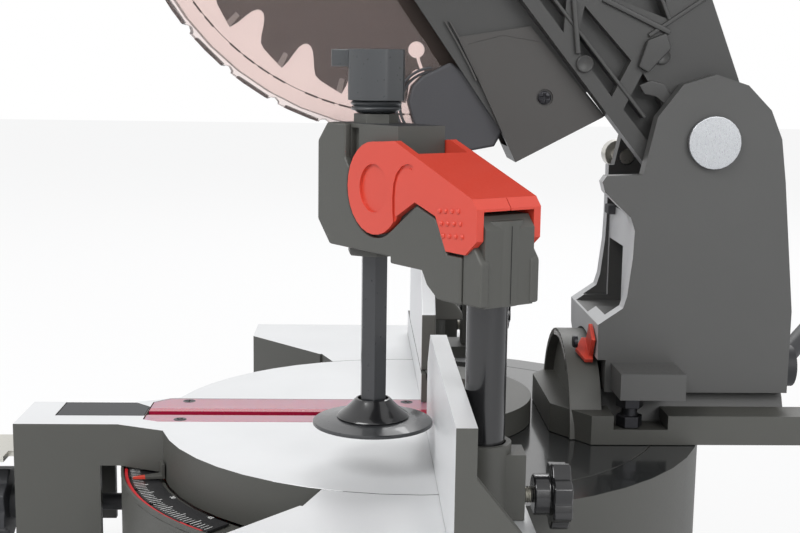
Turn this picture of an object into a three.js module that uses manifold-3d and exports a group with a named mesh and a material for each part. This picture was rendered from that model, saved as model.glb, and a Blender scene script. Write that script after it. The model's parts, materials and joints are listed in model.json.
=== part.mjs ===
// Compound mitre saw with a post-mounted work clamp, in millimetres, +Z up.
// The origin is on the bench, under the axis of the turntable. +X is the operator's right, +Y the back.
// It rests as it stands when let go: head up, blade square to the fence, clamp down on work 20 mm thick.
import * as THREE from "three";
import { mergeVertices } from "three/addons/utils/BufferGeometryUtils.js";
import Module from "manifold-3d";

const wasm = await Module();
wasm.setup();

// Driving sizes of the whole saw.
const OVERCUT = 2; // how far a cutting shape runs past the face that it opens
const GAP = 0.4; // between parts that touch or are bolted together
const PLAY = 0.5; // round a shaft that turns
const TABLE_TOP = 85;
const FENCE_FACE = 8;
const BLADE_RADIUS = 127;
const TABLE_RADIUS = 130;
const ARM_END = 204; // from the turntable's axis to the front of its arm
const DRUM_ROOM = 0.6; // between the turntable and the drum round it
const DRUM_RIM = 21;
const SCALE_START = 3;
const SCALE_WIDTH = 14;
const DEG = Math.PI / 180;
const MERGE = 1e-4;

const foot = { radius: 15, height: 9, taper: 2, x: 205, frontY: 76, rearY: 22 };
const base = {
  reach: 240, wall: 5, top: 6, floor: foot.height + GAP,
  drum: TABLE_RADIUS + DRUM_RIM, well: TABLE_RADIUS + DRUM_ROOM, ledge: 48, shelf: 60, ledgePlate: 7,
    innerRing: 34,
  wingFront: 99, wingRear: 44, cornerX: 199, throatX: 133, throatY: 42, throatIn: 91,
  scaleHalfTurn: 70.8, ribs: 6, hub: 20, boltHole: 3.5, boltX: 220, boltY: 21, boltSeat: 27.4,
};
const mitreScale = { inner: TABLE_RADIUS + SCALE_START, outer: TABLE_RADIUS + SCALE_START + SCALE_WIDTH,
  thick: 1.2, halfTurn: 50, notch: 2.6, notchDepth: 4 };
const detentTurns = [-45, -31.6, -22.5, -15, 0, 15, 22.5, 31.6, 45];
const table = {
  radius: TABLE_RADIUS, deck: 8, skirt: 24, skirtWall: 5.5, armRoot: 40, armRootY: 110, armWaist: 22,
    armWaistY: 150,
  armReach: ARM_END, armDrop: 22, armFoot: 20, armFootLength: 44, armFront: 12, ribX: 37, ribWall: 4,
    ribReach: 117,
  ribBite: 1, hub: 27, hubTop: 57, spokes: 10, spokeStart: 52, spokeSkipShare: 0.5,
};
const insert = {
  left: 30, right: 16, slot: 3.6, thick: 3, lip: 5, front: 139, rear: 44, corner: 8, undercut: 4, edge: 1,
  screwHole: 2.2, screwYs: [-120, 0, 26], leftScrewX: -25, rightScrewX: 12,
};
const tongue = { left: 21, right: 5, front: 186, rear: 140, corner: 8, thick: 3 };
const mitrePointer = { turn: 17, half: 3.5, thick: 1.6, out: 16, top: 70 };
const pivotBolt = { shank: 5, head: 8.5, headHeight: 6, nutHeight: 4.5 };
const lock = { rod: 4.5, radius: 20, length: 28.9, hub: 9, hubLength: 6.6, z: 36, lobes: 7, lobe: 3.5 };
const detent = {
  half: 10, thick: 3, pivotBack: 26, pivotZ: 65.5, pin: 2.4, pinHalf: 17.6, out: 22, rearOut: 12,
  tooth: 2, toothLength: 4, toothLow: 61.9, paddleOut: 6, slotLow: 57, slotHigh: 73,
};
const fence = {
  height: 53.8, face: 8, nearEnd: 213, innerEnd: 31, innerSlope: 18, foot: 12.5, footThick: 7,
  bridgeInner: 41, bridgeOuter: 65, bridgeTop: 98, leftTop: 101, leftInner: 24,
  webThick: 7, webFoot: 34, webLow: 97, webHigh: 127,
};
const socket = {
  x: 155, leftX: 198, y: 24.5, radius: 11.2, top: 117, bossHalf: 7.5, bossReach: 16.5, bossTop: 113,
};
const starKnob = { thread: 3, start: 33.5, hubStart: 45, hub: 8.5, hubLength: 7, radius: 14.5, length: 8,
  lobes: 7, lobe: 2.6, z: 94 };
const slide = {
  inner: 32, length: 150, top: 159, bevel: 26, outerBevel: 12, thick: 8, ribDepth: 25, ribLow: 125, rib: 4,
  ribs: 6,
  tongueFront: 2.9, tongueThick: 2.2, tongueDeep: 3.6,
};
const slideLock = { x: 150, z: 116, standHalf: 15, postHalf: 7.5, y: 46, thick: 6, knobStart: 56,
  tip: 16.5 };
const clamp = {
  post: 8.4, postTop: 196, armLength: 81, armTurn: 213.6, half: 12.5, endRadius: 13.9, endTop: 209,
  rodHex: 5.6, rodTop: 200, rodBottom: 113, rodBore: 4.2, rodBoreBottom: 120, screw: 3.7, screwBottom: 165,
  collar: 10, collarTop: 247.6, collarFoot: 240,
  body: [
    [-13, 175], [-13, 206], [-9, 211], [6, 211], [46.5, 231.5], [46.5, 243.5], [97, 243.5], [104.8, 235],
    [104.8, 199], [94.6, 188.3], [46.5, 188.3], [46.5, 185.5], [24, 185.5], [20.5, 180], [13, 175],
  ],
  hexShare: Math.cos(Math.PI / 6),
};
const clampLever = {
  x: 58.8, z: 216.6, radius: 20, out: 16.4, inside: 12.9, pin: 5.4, recess: 10.5, recessDeep: 1.2,
  tail: [
    [58.8, 196.6], [28.7, 213.3], [14.5, 209], [7.3, 195.6], [-5.2, 195.6], [-12, 201.6], [-12, 214], [-9,
    217.8],
    [43.6, 237.6], [58.8, 236.4],
  ],
  channel: [[-40, 150], [110, 150], [110, 300], [33, 300], [31, 229.5], [-15, 211.8], [-40, 211.8]],
};
const clampKnob = { radius: 13, bottom: 253, length: 23, lobes: 6, lobe: 1.8, hub: 8.6, hubBottom: 248 };
const pad = {
  bore: 6.9, boreBottom: 112.6,
  profile: [[0, 105], [27.8, 105], [27.8, 106.8], [17, 108.6], [16, 110.2], [9, 117.2], [0, 117.2]],
};
const deck = {
  front: 71, frontHalf: 32, shoulderY: 88, half: 56, rear: 204, bottom: TABLE_TOP + GAP, top: 100,
  trough: 40,
  quadrant: 47, quadrantFront: 79, quadrantRear: 95, stripRear: 92, recess: 44, recessDeep: 5,
  notchLeft: 33, notchFront: 99, notchRear: 126, notchFloor: 93,
};
const bevel = { z: TABLE_TOP, pin: 9, pinFront: 80, pinRear: 126, core: 20, coreRear: 127, drum: 38,
  range: 45 };
const bevelLock = {
  rod: 4, radius: 28, slotExtra: 12, threadFront: 86, hub: 11, hubLength: 15, leverRadius: 5.5, ball: 8,
  leverStart: 8, leverEnd: 58, lean: 38, turn: -70,
};
const stopBolt = { x: 49, y: 108, shank: 4, shankLow: 86.5, head: 7, headLow: 103.4, top: 109.6, nut: 6.6,
  nutTop: 99 };
const column = {
  half: 40, front: 97, bottom: 108, rear: 190, face: 110.5, faceLow: 146, faceTop: 196, slotLeft: -28,
  slotRight: 7, slotLow: 143, slotHigh: 178,
  slotRear: 128, farFront: 109, farLow: 190, lugHalf: 64, lugTop: 123, lugBottom: 110, lugFront: 100,
  lugRear: 132,
  cavity: 9, cavityFront: 138, cavityLow: 132, rib: 4, leftCut: 2.5, earPlay: 0.8,
  profile: [
    [97, 108], [97, 124.6], [93, 124.6], [92.5, 142.5], [104.7, 151], [106.5, 157], [108.6, 176.5], [109,
    190],
    [106.8, 196.4], [93.4, 209], [92, 214], [94, 217], [112, 217.6], [118, 246], [130, 262], [146, 267],
    [162, 262], [174, 250],
    [180, 236], [183, 215], [190, 150], [190, 108],
  ],
};
const chop = { y: 146, z: 234, reach: 207.5, raised: 43.7, shaft: 9, cap: 13, capThick: 3, hub: 27,
  hubRight: 30, hubLeft: 7 };
const headLock = { y: 119, z: 222, pin: 4, tip: 31.4, knob: 8, knobLength: 11, stem: 13 };
const bevelPointer = { turn: 32, half: 8, tabHalf: 6, tip: 84, shoulder: 88, back: 92.1, tabFront: 90,
  low: 48, high: 50.4, tabHigh: 62 };
const spring = { wire: 1.5, radius: 14.5, curls: 5, from: -28.6, pitch: 3.8, leg: 9, sides: 5, steps: 8 };

// The arbor in its raised place: the head's own frame starts there.
const arborY = chop.y - chop.reach * Math.cos(chop.raised * DEG);
const arborZ = chop.z + chop.reach * Math.sin(chop.raised * DEG);
const pivotY = chop.y - arborY; // the chop pivot as the head sees it
const pivotZ = chop.z - arborZ;

const blade = {
  plate: 1.8, teeth: 24, bore: 8.4, slots: 4, slotTurn: 3, slotRadius: 100, slotHole: 4.2, slotWidth: 1.8,
  slotEnd: 113,
  // One tooth: how far round the pitch each corner lies, and how deep below the tips.
  toothShares: [0, 0.06, 0.08, 0.14, 0.27, 0.4, 0.52, 0.8], toothDepths: [0, 9, 14, 16.3, 15.6, 10, 3.7,
  1.4],
};
const flange = { radius: 22, bore: 8.4, right: 4, thick: 3.4 };
const spindle = { radius: 8, left: 4.5, right: 40, bore: 4.4, boreEnd: 12, pulley: 30, pulleyLeft: 24,
  pulleyRight: 36 };
const boltHead = { radius: 9, washer: 10.5, washerThick: 2, height: 6, shank: 4, shankEnd: 10 };
const lowerGuard = {
  radius: 144, side: 8, wall: 1.8, rim: 3.2, chord: 47.6, hub: 52, bore: 31, notches: 32, notch: 3.4,
  notchCentre: 145.2,
  sides: 72, downTurn: 55,
};
const upperGuard = {
  radius: 150.5, half: 17.5, wall: 2.6, chord: 41, collarHole: 33, boltHole: 21, portStart: 129,
  portEnd: 152.5,
  chute: [[36.4, -116.2], [55.3, -155.5], [100.3, -131.8], [62.4, -87.2], [36.4, -82]],
  chuteInside: [[26, -116.2], [55.3, -152.4], [96.7, -130.2], [59.3, -87.2], [36.4, -82]],
};
const dustPort = { outer: 17.4, wall: 2.6, z: 34, length: 38, bead: 1.4, beadLength: 4 };
const sidePanel = { outline: [[24.6, -93.7], [61, -87.8], [99, -132.3], [55.3, -155.5], [36.4, -116.2]],
  thick: 2.4 };
const scoop = {
  half: 14.5, slotHalf: 8.9, slotRadius: 145.2,
  outline: [[8, -113], [3, -118], [1, -126], [4, -137], [14, -148], [30, -151], [45, -148], [50, -139],
  [36, -116], [22, -106]],
};
const drive = { left: 17.9, right: 44, wall: 3, cover: 2.6, radius: 38, motorRadius: 45, y: 28, z: 66,
  collar: 30, collarLeft: 4.4, lip: 1.6, sides: 14 };
const spindleBearing = { inner: 8.4, outer: 17, left: 6.4, right: 17.4, shield: 10 };
const belt = { thick: 1.8, left: 25, right: 35 };
const arm = {
  left: 18.2, web: 3.2, right: 29.6, ejector: 4.4, ejectorOut: 1.2, ejectors: [[86.9, -106.1], [124.9,
  -101.6], [62, -62]],
  outline: [[42.4, -59.8], [123.3, -160.7], [140.5, -170.4], [166, -165], [177, -146], [122, -6], [66, 69],
  [28, 66]],
  pockets: [
    [[56, -66], [76, -91], [77, -74], [52, -46]],
    [[82, -98], [101, -122], [110, -104], [86, -78]],
    [[107, -128], [121, -145], [128, -128], [116, -110]],
    [[60, -38], [84, -68], [128, -84], [112, -22]],
  ],
  bracket: [[-17, 60], [-74, 132], [-92, 158], [-74, 172], [-54, 182], [12, 108], [30, 80]],
};
const motor = {
  left: 47.4, right: 165.4, radius: 42, wall: 3, cap: 26, capTaper: 12, capWaist: 21, capRadius: 38,
  capFace: 30, shaft: 6, shaftLeft: 22,
  pulley: 12, rotor: 20, rotorLeft: 73.4, rotorRight: 129.4, ringRadius: 14, ringLeft: 135, ringRight: 152,
  fan: 33, fanHub: 14, fanLeft: 53.4, fanDisc: 56.4, fanRight: 66, fanBlades: 10, fanThin: 0.8,
  field: 38.6, fieldBore: 22, fieldLeft: 76, fieldRight: 128, vents: 8, ventLeft: 55, ventRight: 73,
  ventHalf: 2,
  bands: [96, 108], band: 4, bandOut: 1.4, sides: 32, slits: 7, slitPitch: 7.6, slitHalf: 1.3,
  slitReach: 26,
};
const capBearing = { inner: 6.4, outer: 11, left: 172, right: 181 };
const brush = { radius: 6.5, x: 143.4, turn: 60, bossOut: 3, boss: 47, foot: 40, boreFoot: 30, cap: 8.2,
  capThick: 2.4 };
const gland = { radius: 7, bore: 3.2, x: 173.6, z: -10, inside: 36, start: 42.4, collar: 9.5,
  collarThick: 3.6, end: 56 };
const handle = {
  y: -100, z: 168, turn: 30.8, length: 130, height: 72, corner: 28, half: 15, openLength: 92, openLow: -22,
  openHigh: 12, openCorner: 14,
  neckFront: 2, neckRear: 46, neckLow: -42, neckHigh: -26, neckRight: 17.8,
};
const trigger = { half: 6, front: -14, rear: 22, low: 4, top: 18.5, slope: 6, pocketTop: 24.2 };
const button = { radius: 5, inside: 9, out: 18, pocket: 6, y: 34, z: 24 };
const carry = { y: 40, z: 150, length: 96, height: 68, corner: 17, half: 9, openDrop: 6, openLength: 70,
  openHeight: 57, openCorner: 12 };

// Materials, coloured as the saw is.
const paint = (color, roughness, metalness = 0) =>
  new THREE.MeshStandardMaterial({ color, roughness, metalness });
const casting = paint(0x4c4b4b, 0.55, 0.3);
const plastic = paint(0x2d2d2f, 0.6);
const black = paint(0x1a1a1c, 0.35);
const rubber = paint(0x232426, 0.8);
const machined = paint(0xdfe0e1, 0.35, 0.7);
const steel = paint(0xb5b8bb, 0.3, 0.9);
const blackSteel = paint(0x26272a, 0.3, 0.6);
const red = paint(0xe2423a, 0.45);
const redTint = paint(0xd8506a, 0.3);
const tint = new THREE.MeshStandardMaterial({ color: 0xf3c9c0, roughness: 0.2, transparent: true,
  opacity: 0.5 });
const copper = paint(0xa8603a, 0.4, 0.6);

// A closed three.js geometry as a solid, with its faces pointing out.
function solid(geometry) {
  const bare = geometry.index ? geometry.toNonIndexed() : geometry.clone();
  bare.deleteAttribute("normal");
  bare.deleteAttribute("uv");
  const merged = mergeVertices(bare, MERGE);
  const corners = merged.index.array;
  const kept = [];
  for (let i = 0; i < corners.length; i += 3) {
    const [a, b, c] = [corners[i], corners[i + 1], corners[i + 2]];
    if (a !== b && b !== c && c !== a) kept.push(a, b, c);
  }
  const make = (list) =>
    new wasm.Manifold(
      new wasm.Mesh({
        numProp: 3,
        vertProperties: new Float32Array(merged.attributes.position.array),
        triVerts: new Uint32Array(list),
      }),
    );
  const made = make(kept);
  return made.volume() < 0 ? make(kept.reverse()) : made;
}

function geometryOf(shape) {
  const found = shape.getMesh();
  const points = new Float32Array(found.numVert * 3);
  for (let i = 0; i < found.numVert; i++) {
    const start = i * found.numProp;
    points.set(found.vertProperties.subarray(start, start + 3), i * 3);
  }
  const geometry = new THREE.BufferGeometry();
  geometry.setAttribute("position", new THREE.BufferAttribute(points, 3));
  geometry.setIndex(new THREE.BufferAttribute(new Uint32Array(found.triVerts), 1));
  geometry.computeVertexNormals();
  return geometry;
}

const join = (...shapes) => shapes.reduce((a, b) => a.add(b));
const cut = (shape, ...tools) => tools.reduce((a, b) => a.subtract(b), shape);
const common = (...shapes) => shapes.reduce((a, b) => a.intersect(b));

// Turns a shape made along +Z to stand along another axis. Its own x and y become the two that are left.
const axes = [new THREE.Vector3(1, 0, 0), new THREE.Vector3(0, 1, 0), new THREE.Vector3(0, 0, 1)];
const STAND = {
  x: new THREE.Matrix4().makeBasis(axes[1], axes[2], axes[0]),
  y: new THREE.Matrix4().makeBasis(axes[0], axes[2], axes[1].clone().negate()),
  z: new THREE.Matrix4(),
};

function block(x0, x1, y0, y1, z0, z1) {
  const box = new THREE.BoxGeometry(x1 - x0, y1 - y0, z1 - z0);
  return solid(box.translate((x0 + x1) / 2, (y0 + y1) / 2, (z0 + z1) / 2));
}

// An outline pushed along an axis. A point is [y, z] on x, [x, z] on y, [x, y] on z.
function slab(axis, outline, from, to, sides = 8) {
  const drawn = Array.isArray(outline);
  const shape = drawn ? new THREE.Shape(outline.map(([a, b]) => new THREE.Vector2(a, b))) : outline;
  const how = { depth: to - from, bevelEnabled: false, curveSegments: sides };
  const body = new THREE.ExtrudeGeometry(shape, how).translate(0, 0, axis === "y" ? -to : from);
  return solid(body.applyMatrix4(STAND[axis]));
}

// A round bar, or a cone frustum, along an axis; centre is given in the two other axes.
function bar(axis, radius, from, to, centre = [0, 0], sides = 20, endRadius = radius, turn = 0) {
  const back = axis === "y"; // what is stood along y runs backwards
  const body = new THREE.CylinderGeometry(back ? radius : endRadius, back ? endRadius : radius, to - from,
    sides);
  body.rotateY(turn).rotateX(Math.PI / 2).translate(0, 0, ((back ? -1 : 1) * (from + to)) / 2);
  body.applyMatrix4(STAND[axis]);
  const [a, b] = centre;
  if (axis === "x") body.translate(0, a, b);
  else body.translate(a, back ? 0 : b, back ? b : 0);
  return solid(body);
}

const ring = (axis, outer, inner, from, to, centre, sides) =>
  cut(bar(axis, outer, from, to, centre, sides), bar(axis, inner, from - OVERCUT, to + OVERCUT, centre,
    sides));

// A profile of [radius, height] points turned about an axis.
function turned(axis, profile, sides = 32) {
  const way = axis === "y" ? -1 : 1;
  const body = new THREE.LatheGeometry(profile.map(([r, h]) => new THREE.Vector2(r, way * h)), sides);
  return solid(body.rotateX(Math.PI / 2).applyMatrix4(STAND[axis]));
}

// A slice of a ring between two turns, in degrees from the first axis of the outline towards the second.
function arcShape(outer, inner, start, end) {
  const shape = new THREE.Shape();
  shape.absarc(0, 0, outer, start * DEG, end * DEG, false);
  shape.absarc(0, 0, inner, end * DEG, start * DEG, true);
  return shape;
}

const moved = (shape, x, y, z) => shape.translate([x, y, z]);
const turnedBy = (shape, axis, degrees) =>
  shape.rotate(["x", "y", "z"].map((name) => (name === axis ? degrees : 0)));
const mirrorX = (shape) => shape.mirror([1, 0, 0]);

// A rectangle with round corners, about its own middle.
function roundedBox(width, height, radius) {
  const shape = new THREE.Shape();
  const [a, b] = [width / 2 - radius, height / 2 - radius];
  [[a, -b], [a, b], [-a, b], [-a, -b]].forEach(([x, y], i) => {
    shape.absarc(x, y, radius, ((i - 1) * Math.PI) / 2, (i * Math.PI) / 2, false);
  });
  return shape;
}

const saw = new THREE.Group();
const clampGroup = new THREE.Group();
const headGroup = new THREE.Group();
saw.add(clampGroup, headGroup);
clampGroup.position.set(socket.x, socket.y, 0);
clampGroup.rotation.z = clamp.armTurn * DEG;
headGroup.position.set(0, arborY, arborZ);

function part(group, name, shape, material, place = [0, 0, 0], turn = [0, 0, 0]) {
  const mesh = new THREE.Mesh(geometryOf(shape), material);
  mesh.name = name;
  mesh.position.set(...place);
  mesh.rotation.set(...turn.map((degrees) => degrees * DEG));
  group.add(mesh);
}

// Base: a drum under the turntable, two wings and a sunk ledge for the scale.
const wingOutline = (inset) => [
  [base.throatIn + inset, inset - base.throatY], [base.throatX + inset, inset - base.throatY],
  [base.cornerX + inset, inset - base.wingFront], [base.reach - inset, inset - base.wingFront],
  [base.reach - inset, base.wingRear - inset], [base.throatIn + inset, base.wingRear - inset],
];

function baseCasting() {
  const under = base.ledge - base.ledgePlate;
  const roof = TABLE_TOP - base.top;
  const wing = cut(
    slab("z", wingOutline(0), base.floor, TABLE_TOP),
    slab("z", wingOutline(base.wall), base.floor - OVERCUT, roof),
  );
  const web = block(
    base.drum - base.wall, base.reach - base.wall, -base.throatY, base.wall - base.throatY, base.floor,
      roof + OVERCUT,
  );
  const pillars = [-foot.frontY, foot.rearY].map((y) => bar("z", foot.radius, base.floor, roof + OVERCUT,
    [foot.x, y], 20));
  const ribbed = join(wing, web, ...pillars);
  const drum = bar("z", base.drum, base.floor, TABLE_TOP, [0, 0], 48);
  const hollow = bar("z", base.drum - base.wall, base.floor - OVERCUT, under, [0, 0], 48);
  const well = bar("z", base.well, base.ledge, TABLE_TOP + OVERCUT, [0, 0], 48);
  const halfTurn = base.scaleHalfTurn;
  const front = slab(
    "z", arcShape(base.drum + OVERCUT, base.innerRing, -90 - halfTurn, halfTurn - 90), base.shelf,
      TABLE_TOP + OVERCUT, 24,
  );
  const undercut = cut(
    bar("z", base.drum - base.wall, base.floor - OVERCUT, roof, [0, 0], 48),
    bar("z", base.well + base.wall, 0, TABLE_TOP, [0, 0], 48),
    block(-base.reach, base.reach, -base.reach, 0, 0, TABLE_TOP),
  );
  const shelfRoom = cut(
    bar("z", base.drum - base.wall, base.floor - OVERCUT, base.shelf - base.wall, [0, 0], 48),
    bar("z", base.well + base.wall, 0, TABLE_TOP, [0, 0], 48),
    block(-base.reach, base.reach, 0, base.reach, 0, TABLE_TOP),
  );
  const spokes = [];
  for (let i = 0; i < base.ribs; i++) {
    const spoke = block(0, base.drum - base.wall / 2, -base.wall / 2, base.wall / 2, base.floor,
      under + OVERCUT);
    spokes.push(turnedBy(spoke, "z", (i + 1 / 2) * (360 / base.ribs)));
  }
  const open = cut(join(drum, ribbed, mirrorX(ribbed)), hollow, well, front, undercut, shelfRoom);
  const hub = bar("z", base.hub, base.floor, base.ledge, [0, 0], 20);
  const through = bar("z", pivotBolt.shank + PLAY, 0, TABLE_TOP, [0, 0], 20);
  const seat = bar("z", pivotBolt.head + 2 * PLAY, 0, base.boltSeat, [0, 0], 20);
  const holes = [1, -1].map((side) =>
    bar("z", base.boltHole, 0, TABLE_TOP + OVERCUT, [side * base.boltX, -base.boltY], 16),
  );
  return cut(join(open, hub, ...spokes), through, seat, ...holes);
}

const footShape = turned("z", [
  [0, 0], [foot.radius - foot.taper, 0], [foot.radius, foot.height], [0, foot.height],
], 20);

// The scale plate lies on the shelf, its outer edge notched for the detent.
function scalePlate() {
  const low = base.shelf + GAP;
  const rim = arcShape(mitreScale.outer, mitreScale.inner, -90 - mitreScale.halfTurn,
    mitreScale.halfTurn - 90);
  const plate = slab("z", rim, low, low + mitreScale.thick, 24);
  const notches = detentTurns.map((turn) => {
    const start = -mitreScale.outer - OVERCUT;
    const bite = block(-mitreScale.notch, mitreScale.notch, start,
      mitreScale.notchDepth - mitreScale.outer, 0, TABLE_TOP);
    return turnedBy(bite, "z", turn);
  });
  return cut(plate, ...notches);
}

// Turntable: a light deck with a skirt, an arm to the front and the kerf opening down its middle.
function insertOutline(grow) {
  return [
    [-insert.left - grow, insert.corner - insert.front], [insert.corner - insert.left,
    -insert.front - grow],
    [insert.right - insert.corner / 2, -insert.front - grow], [insert.right + grow,
      insert.corner - insert.front],
    [insert.right + grow, insert.rear + grow], [-insert.left - grow, insert.rear + grow],
  ];
}
const tongueOutline = (grow) => [
  [-tongue.left - grow, -tongue.front - grow], [tongue.right + grow, -tongue.front - grow],
  [tongue.right + grow, grow - tongue.rear], [tongue.corner - tongue.left, grow - tongue.rear],
  [-tongue.left - grow, -tongue.corner - tongue.rear],
];

function turntableCasting() {
  const t = table;
  const under = TABLE_TOP - t.deck;
  const skirtLow = TABLE_TOP - t.skirt;
  const disc = bar("z", t.radius, skirtLow, TABLE_TOP, [0, 0], 48);
  const discRoom = bar("z", t.radius - t.skirtWall, skirtLow - OVERCUT, under, [0, 0], 48);
  const armOutline = [
    [-t.armRoot, -t.armRootY], [-t.armWaist, -t.armWaistY], [-t.armWaist, -t.armReach],
    [t.armWaist, -t.armReach], [t.armWaist, -t.armWaistY], [t.armRoot, -t.armRootY],
  ];
  const armBody = slab("z", armOutline, TABLE_TOP - t.armDrop, TABLE_TOP);
  const inside = t.armWaist - t.ribWall;
  const armRoom = block(-inside, inside, t.armFootLength - t.armReach, 0, skirtLow - OVERCUT, under);
  const shin = block(-t.armWaist, t.armWaist, -t.armReach, t.armFootLength - t.armReach, t.armFoot,
    TABLE_TOP - OVERCUT);
  const shinRoom = block(
    -inside, inside, t.armFront - t.armReach, t.armFootLength - t.armReach + OVERCUT, t.armFoot - OVERCUT,
      under,
  );
  const girders = [-t.ribX, t.ribX].map((x) =>
    block(x - t.ribWall / 2, x + t.ribWall / 2, -t.ribReach, t.ribReach, skirtLow, under + t.ribBite),
  );
  const spokes = [];
  for (let i = 0; i < t.spokes; i++) {
    const turn = (i + 1 / 2) * (360 / t.spokes);
    const spoke = block(
      t.spokeStart, t.radius - t.skirtWall / 2, -t.ribWall / 2, t.ribWall / 2, skirtLow, under + t.ribBite,
    );
    if (Math.abs(Math.cos(turn * DEG)) > t.spokeSkipShare) spokes.push(turnedBy(spoke, "z", turn));
  }
  const kerf = block(
    insert.lip - insert.left, insert.right - insert.lip, insert.lip - insert.front,
      insert.rear - insert.lip,
    0, TABLE_TOP + OVERCUT,
  );
  const strapLow = t.hubTop - t.ribWall;
  const strapIn = t.ribX - t.ribWall;
  const strap = block(-t.ribX, t.ribX, -t.hub, t.hub, strapLow, skirtLow + t.ribWall);
  const strapRoom = block(-strapIn, strapIn, -t.hub - OVERCUT, t.hub + OVERCUT, t.hubTop, TABLE_TOP);
  const hub = bar("z", t.hub, base.ledge + GAP, t.hubTop, [0, 0], 24);
  const seat = slab("z", insertOutline(GAP), TABLE_TOP - insert.thick - GAP, TABLE_TOP + OVERCUT);
  const tongueSeat = slab("z", tongueOutline(GAP), TABLE_TOP - tongue.thick - GAP, TABLE_TOP + OVERCUT);
  const rodHole = bar("y", lock.rod + PLAY, -t.armReach - OVERCUT, -base.drum, [0, lock.z], 16);
  const leverSlot = block(
    -detent.half - PLAY, detent.half + PLAY, -t.armReach - OVERCUT, t.armFront + PLAY - t.armReach,
      detent.slotLow,
    detent.slotHigh,
  );
  const bolt = bar("z", pivotBolt.shank + PLAY, 0, TABLE_TOP, [0, 0], 20);
  const pinRoom = bar("y", bevel.pin + PLAY, bevel.pinFront - OVERCUT, t.radius + OVERCUT, [0, bevel.z],
    28);
  const coreRoom = bar("y", bevel.core + PLAY, deck.quadrantRear, bevel.coreRear + PLAY, [0, bevel.z], 32);
  const body = join(cut(join(disc, armBody), discRoom), shin);
  const framed = cut(join(cut(body, armRoom, shinRoom), ...girders, ...spokes), kerf);
  return cut(join(framed, cut(strap, strapRoom), hub), seat, tongueSeat, rodHole, leverSlot, bolt, pinRoom,
    coreRoom);
}

function kerfInsert(side) {
  const plate = slab("z", insertOutline(-GAP / 2), TABLE_TOP - insert.thick, TABLE_TOP);
  const reach = insert.left + insert.right;
  const low = TABLE_TOP - insert.thick - OVERCUT;
  const high = TABLE_TOP + OVERCUT;
  const left = block(-reach, -insert.slot, -2 * insert.front, insert.front, low, high);
  const right = slab("y", [
    [insert.slot, high], [insert.slot, TABLE_TOP - insert.edge], [insert.slot + insert.undercut, low],
      [reach, low], [reach, high],
  ], -2 * insert.front, insert.front);
  const x = side < 0 ? insert.leftScrewX : insert.rightScrewX;
  const holes = insert.screwYs.map((y) => bar("z", insert.screwHole, low, high, [x, y], 12));
  return cut(common(plate, side < 0 ? left : right), ...holes);
}

// A knob with hand lobes, along +Z from zero: first its hub, then the lobes.
function lobedKnob(knob) {
  const shape = new THREE.Shape();
  const steps = knob.lobes * 4;
  for (let i = 0; i < steps; i++) {
    const r = knob.radius - (knob.lobe * (1 + Math.cos((i / 4) * 2 * Math.PI))) / 2;
    const turn = (i / steps) * 2 * Math.PI;
    if (i) shape.lineTo(r * Math.cos(turn), r * Math.sin(turn));
    else shape.moveTo(r, 0);
  }
  const star = slab("z", shape, knob.hubLength, knob.hubLength + knob.length);
  return join(star, bar("z", knob.hub, 0, knob.hubLength + OVERCUT, [0, 0], 20));
}

function mitrePointerShape() {
  const p = mitrePointer;
  const low = base.shelf + GAP + mitreScale.thick + 2 * GAP;
  const back = -table.radius - GAP;
  const plate = block(-p.half, p.half, back - p.thick, back, low, p.top);
  const nose = slab("z", [[-p.half, back], [p.half, back], [0, -table.radius - p.out]], low, low + p.thick);
  return turnedBy(join(plate, nose), "z", p.turn);
}

function mitreLock() {
  const knob = turnedBy(lobedKnob(lock), "x", 90);
  const rod = bar("y", lock.rod, -table.armReach - OVERCUT, -base.drum - GAP, [0, 0], 16);
  return moved(join(moved(knob, 0, -table.armReach - GAP, 0), rod), 0, 0, lock.z);
}

function detentLever() {
  const d = detent;
  const low = d.pivotZ - d.thick / 2;
  const front = table.armReach + d.out;
  const plate = block(-d.half, d.half, -front, -table.radius - d.rearOut, low, low + d.thick);
  const paddle = block(-2 * d.half, 2 * d.half, -front, -table.armReach - d.paddleOut, low, low + d.thick);
  const toothRear = d.toothLength - mitreScale.outer;
  const tooth = block(-d.tooth, d.tooth, -mitreScale.outer, toothRear, d.toothLow, low + d.thick / 2);
  return join(plate, paddle, tooth, bar("x", d.pin, -d.pinHalf, d.pinHalf, [d.pivotBack - table.armReach,
    d.pivotZ], 14));
}

const pivotBoltShape = join(
  bar("z", pivotBolt.head, base.boltSeat - pivotBolt.headHeight - GAP, base.boltSeat - GAP, [0, 0], 6),
  bar("z", pivotBolt.shank, base.boltSeat - GAP - OVERCUT, table.hubTop + OVERCUT, [0, 0], 20),
  bar("z", pivotBolt.head, table.hubTop + GAP, table.hubTop + GAP + pivotBolt.nutHeight, [0, 0], 6),
);

// Fence: a low right half, a lower left half and the bridge that joins them behind the kerf.
const fenceLow = TABLE_TOP + GAP;
const footTop = fenceLow + fence.footThick;
const faceRear = FENCE_FACE + fence.face;
const fenceTop = TABLE_TOP + fence.height;
const slideBottom = fence.leftTop + GAP;

function postSocket(top) {
  const bossTop = Math.min(top, socket.bossTop);
  const boss = block(-socket.bossHalf, socket.bossHalf, 0, socket.bossReach, fenceLow, bossTop);
  const bore = bar("z", clamp.post + PLAY, footTop, top + OVERCUT, [0, 0], 24);
  const screw = bar("y", starKnob.thread + GAP, 0, 2 * socket.bossReach, [0, starKnob.z], 16);
  return { body: join(bar("z", socket.radius, fenceLow, top, [0, 0], 24), boss), room: join(bore, screw) };
}

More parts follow.
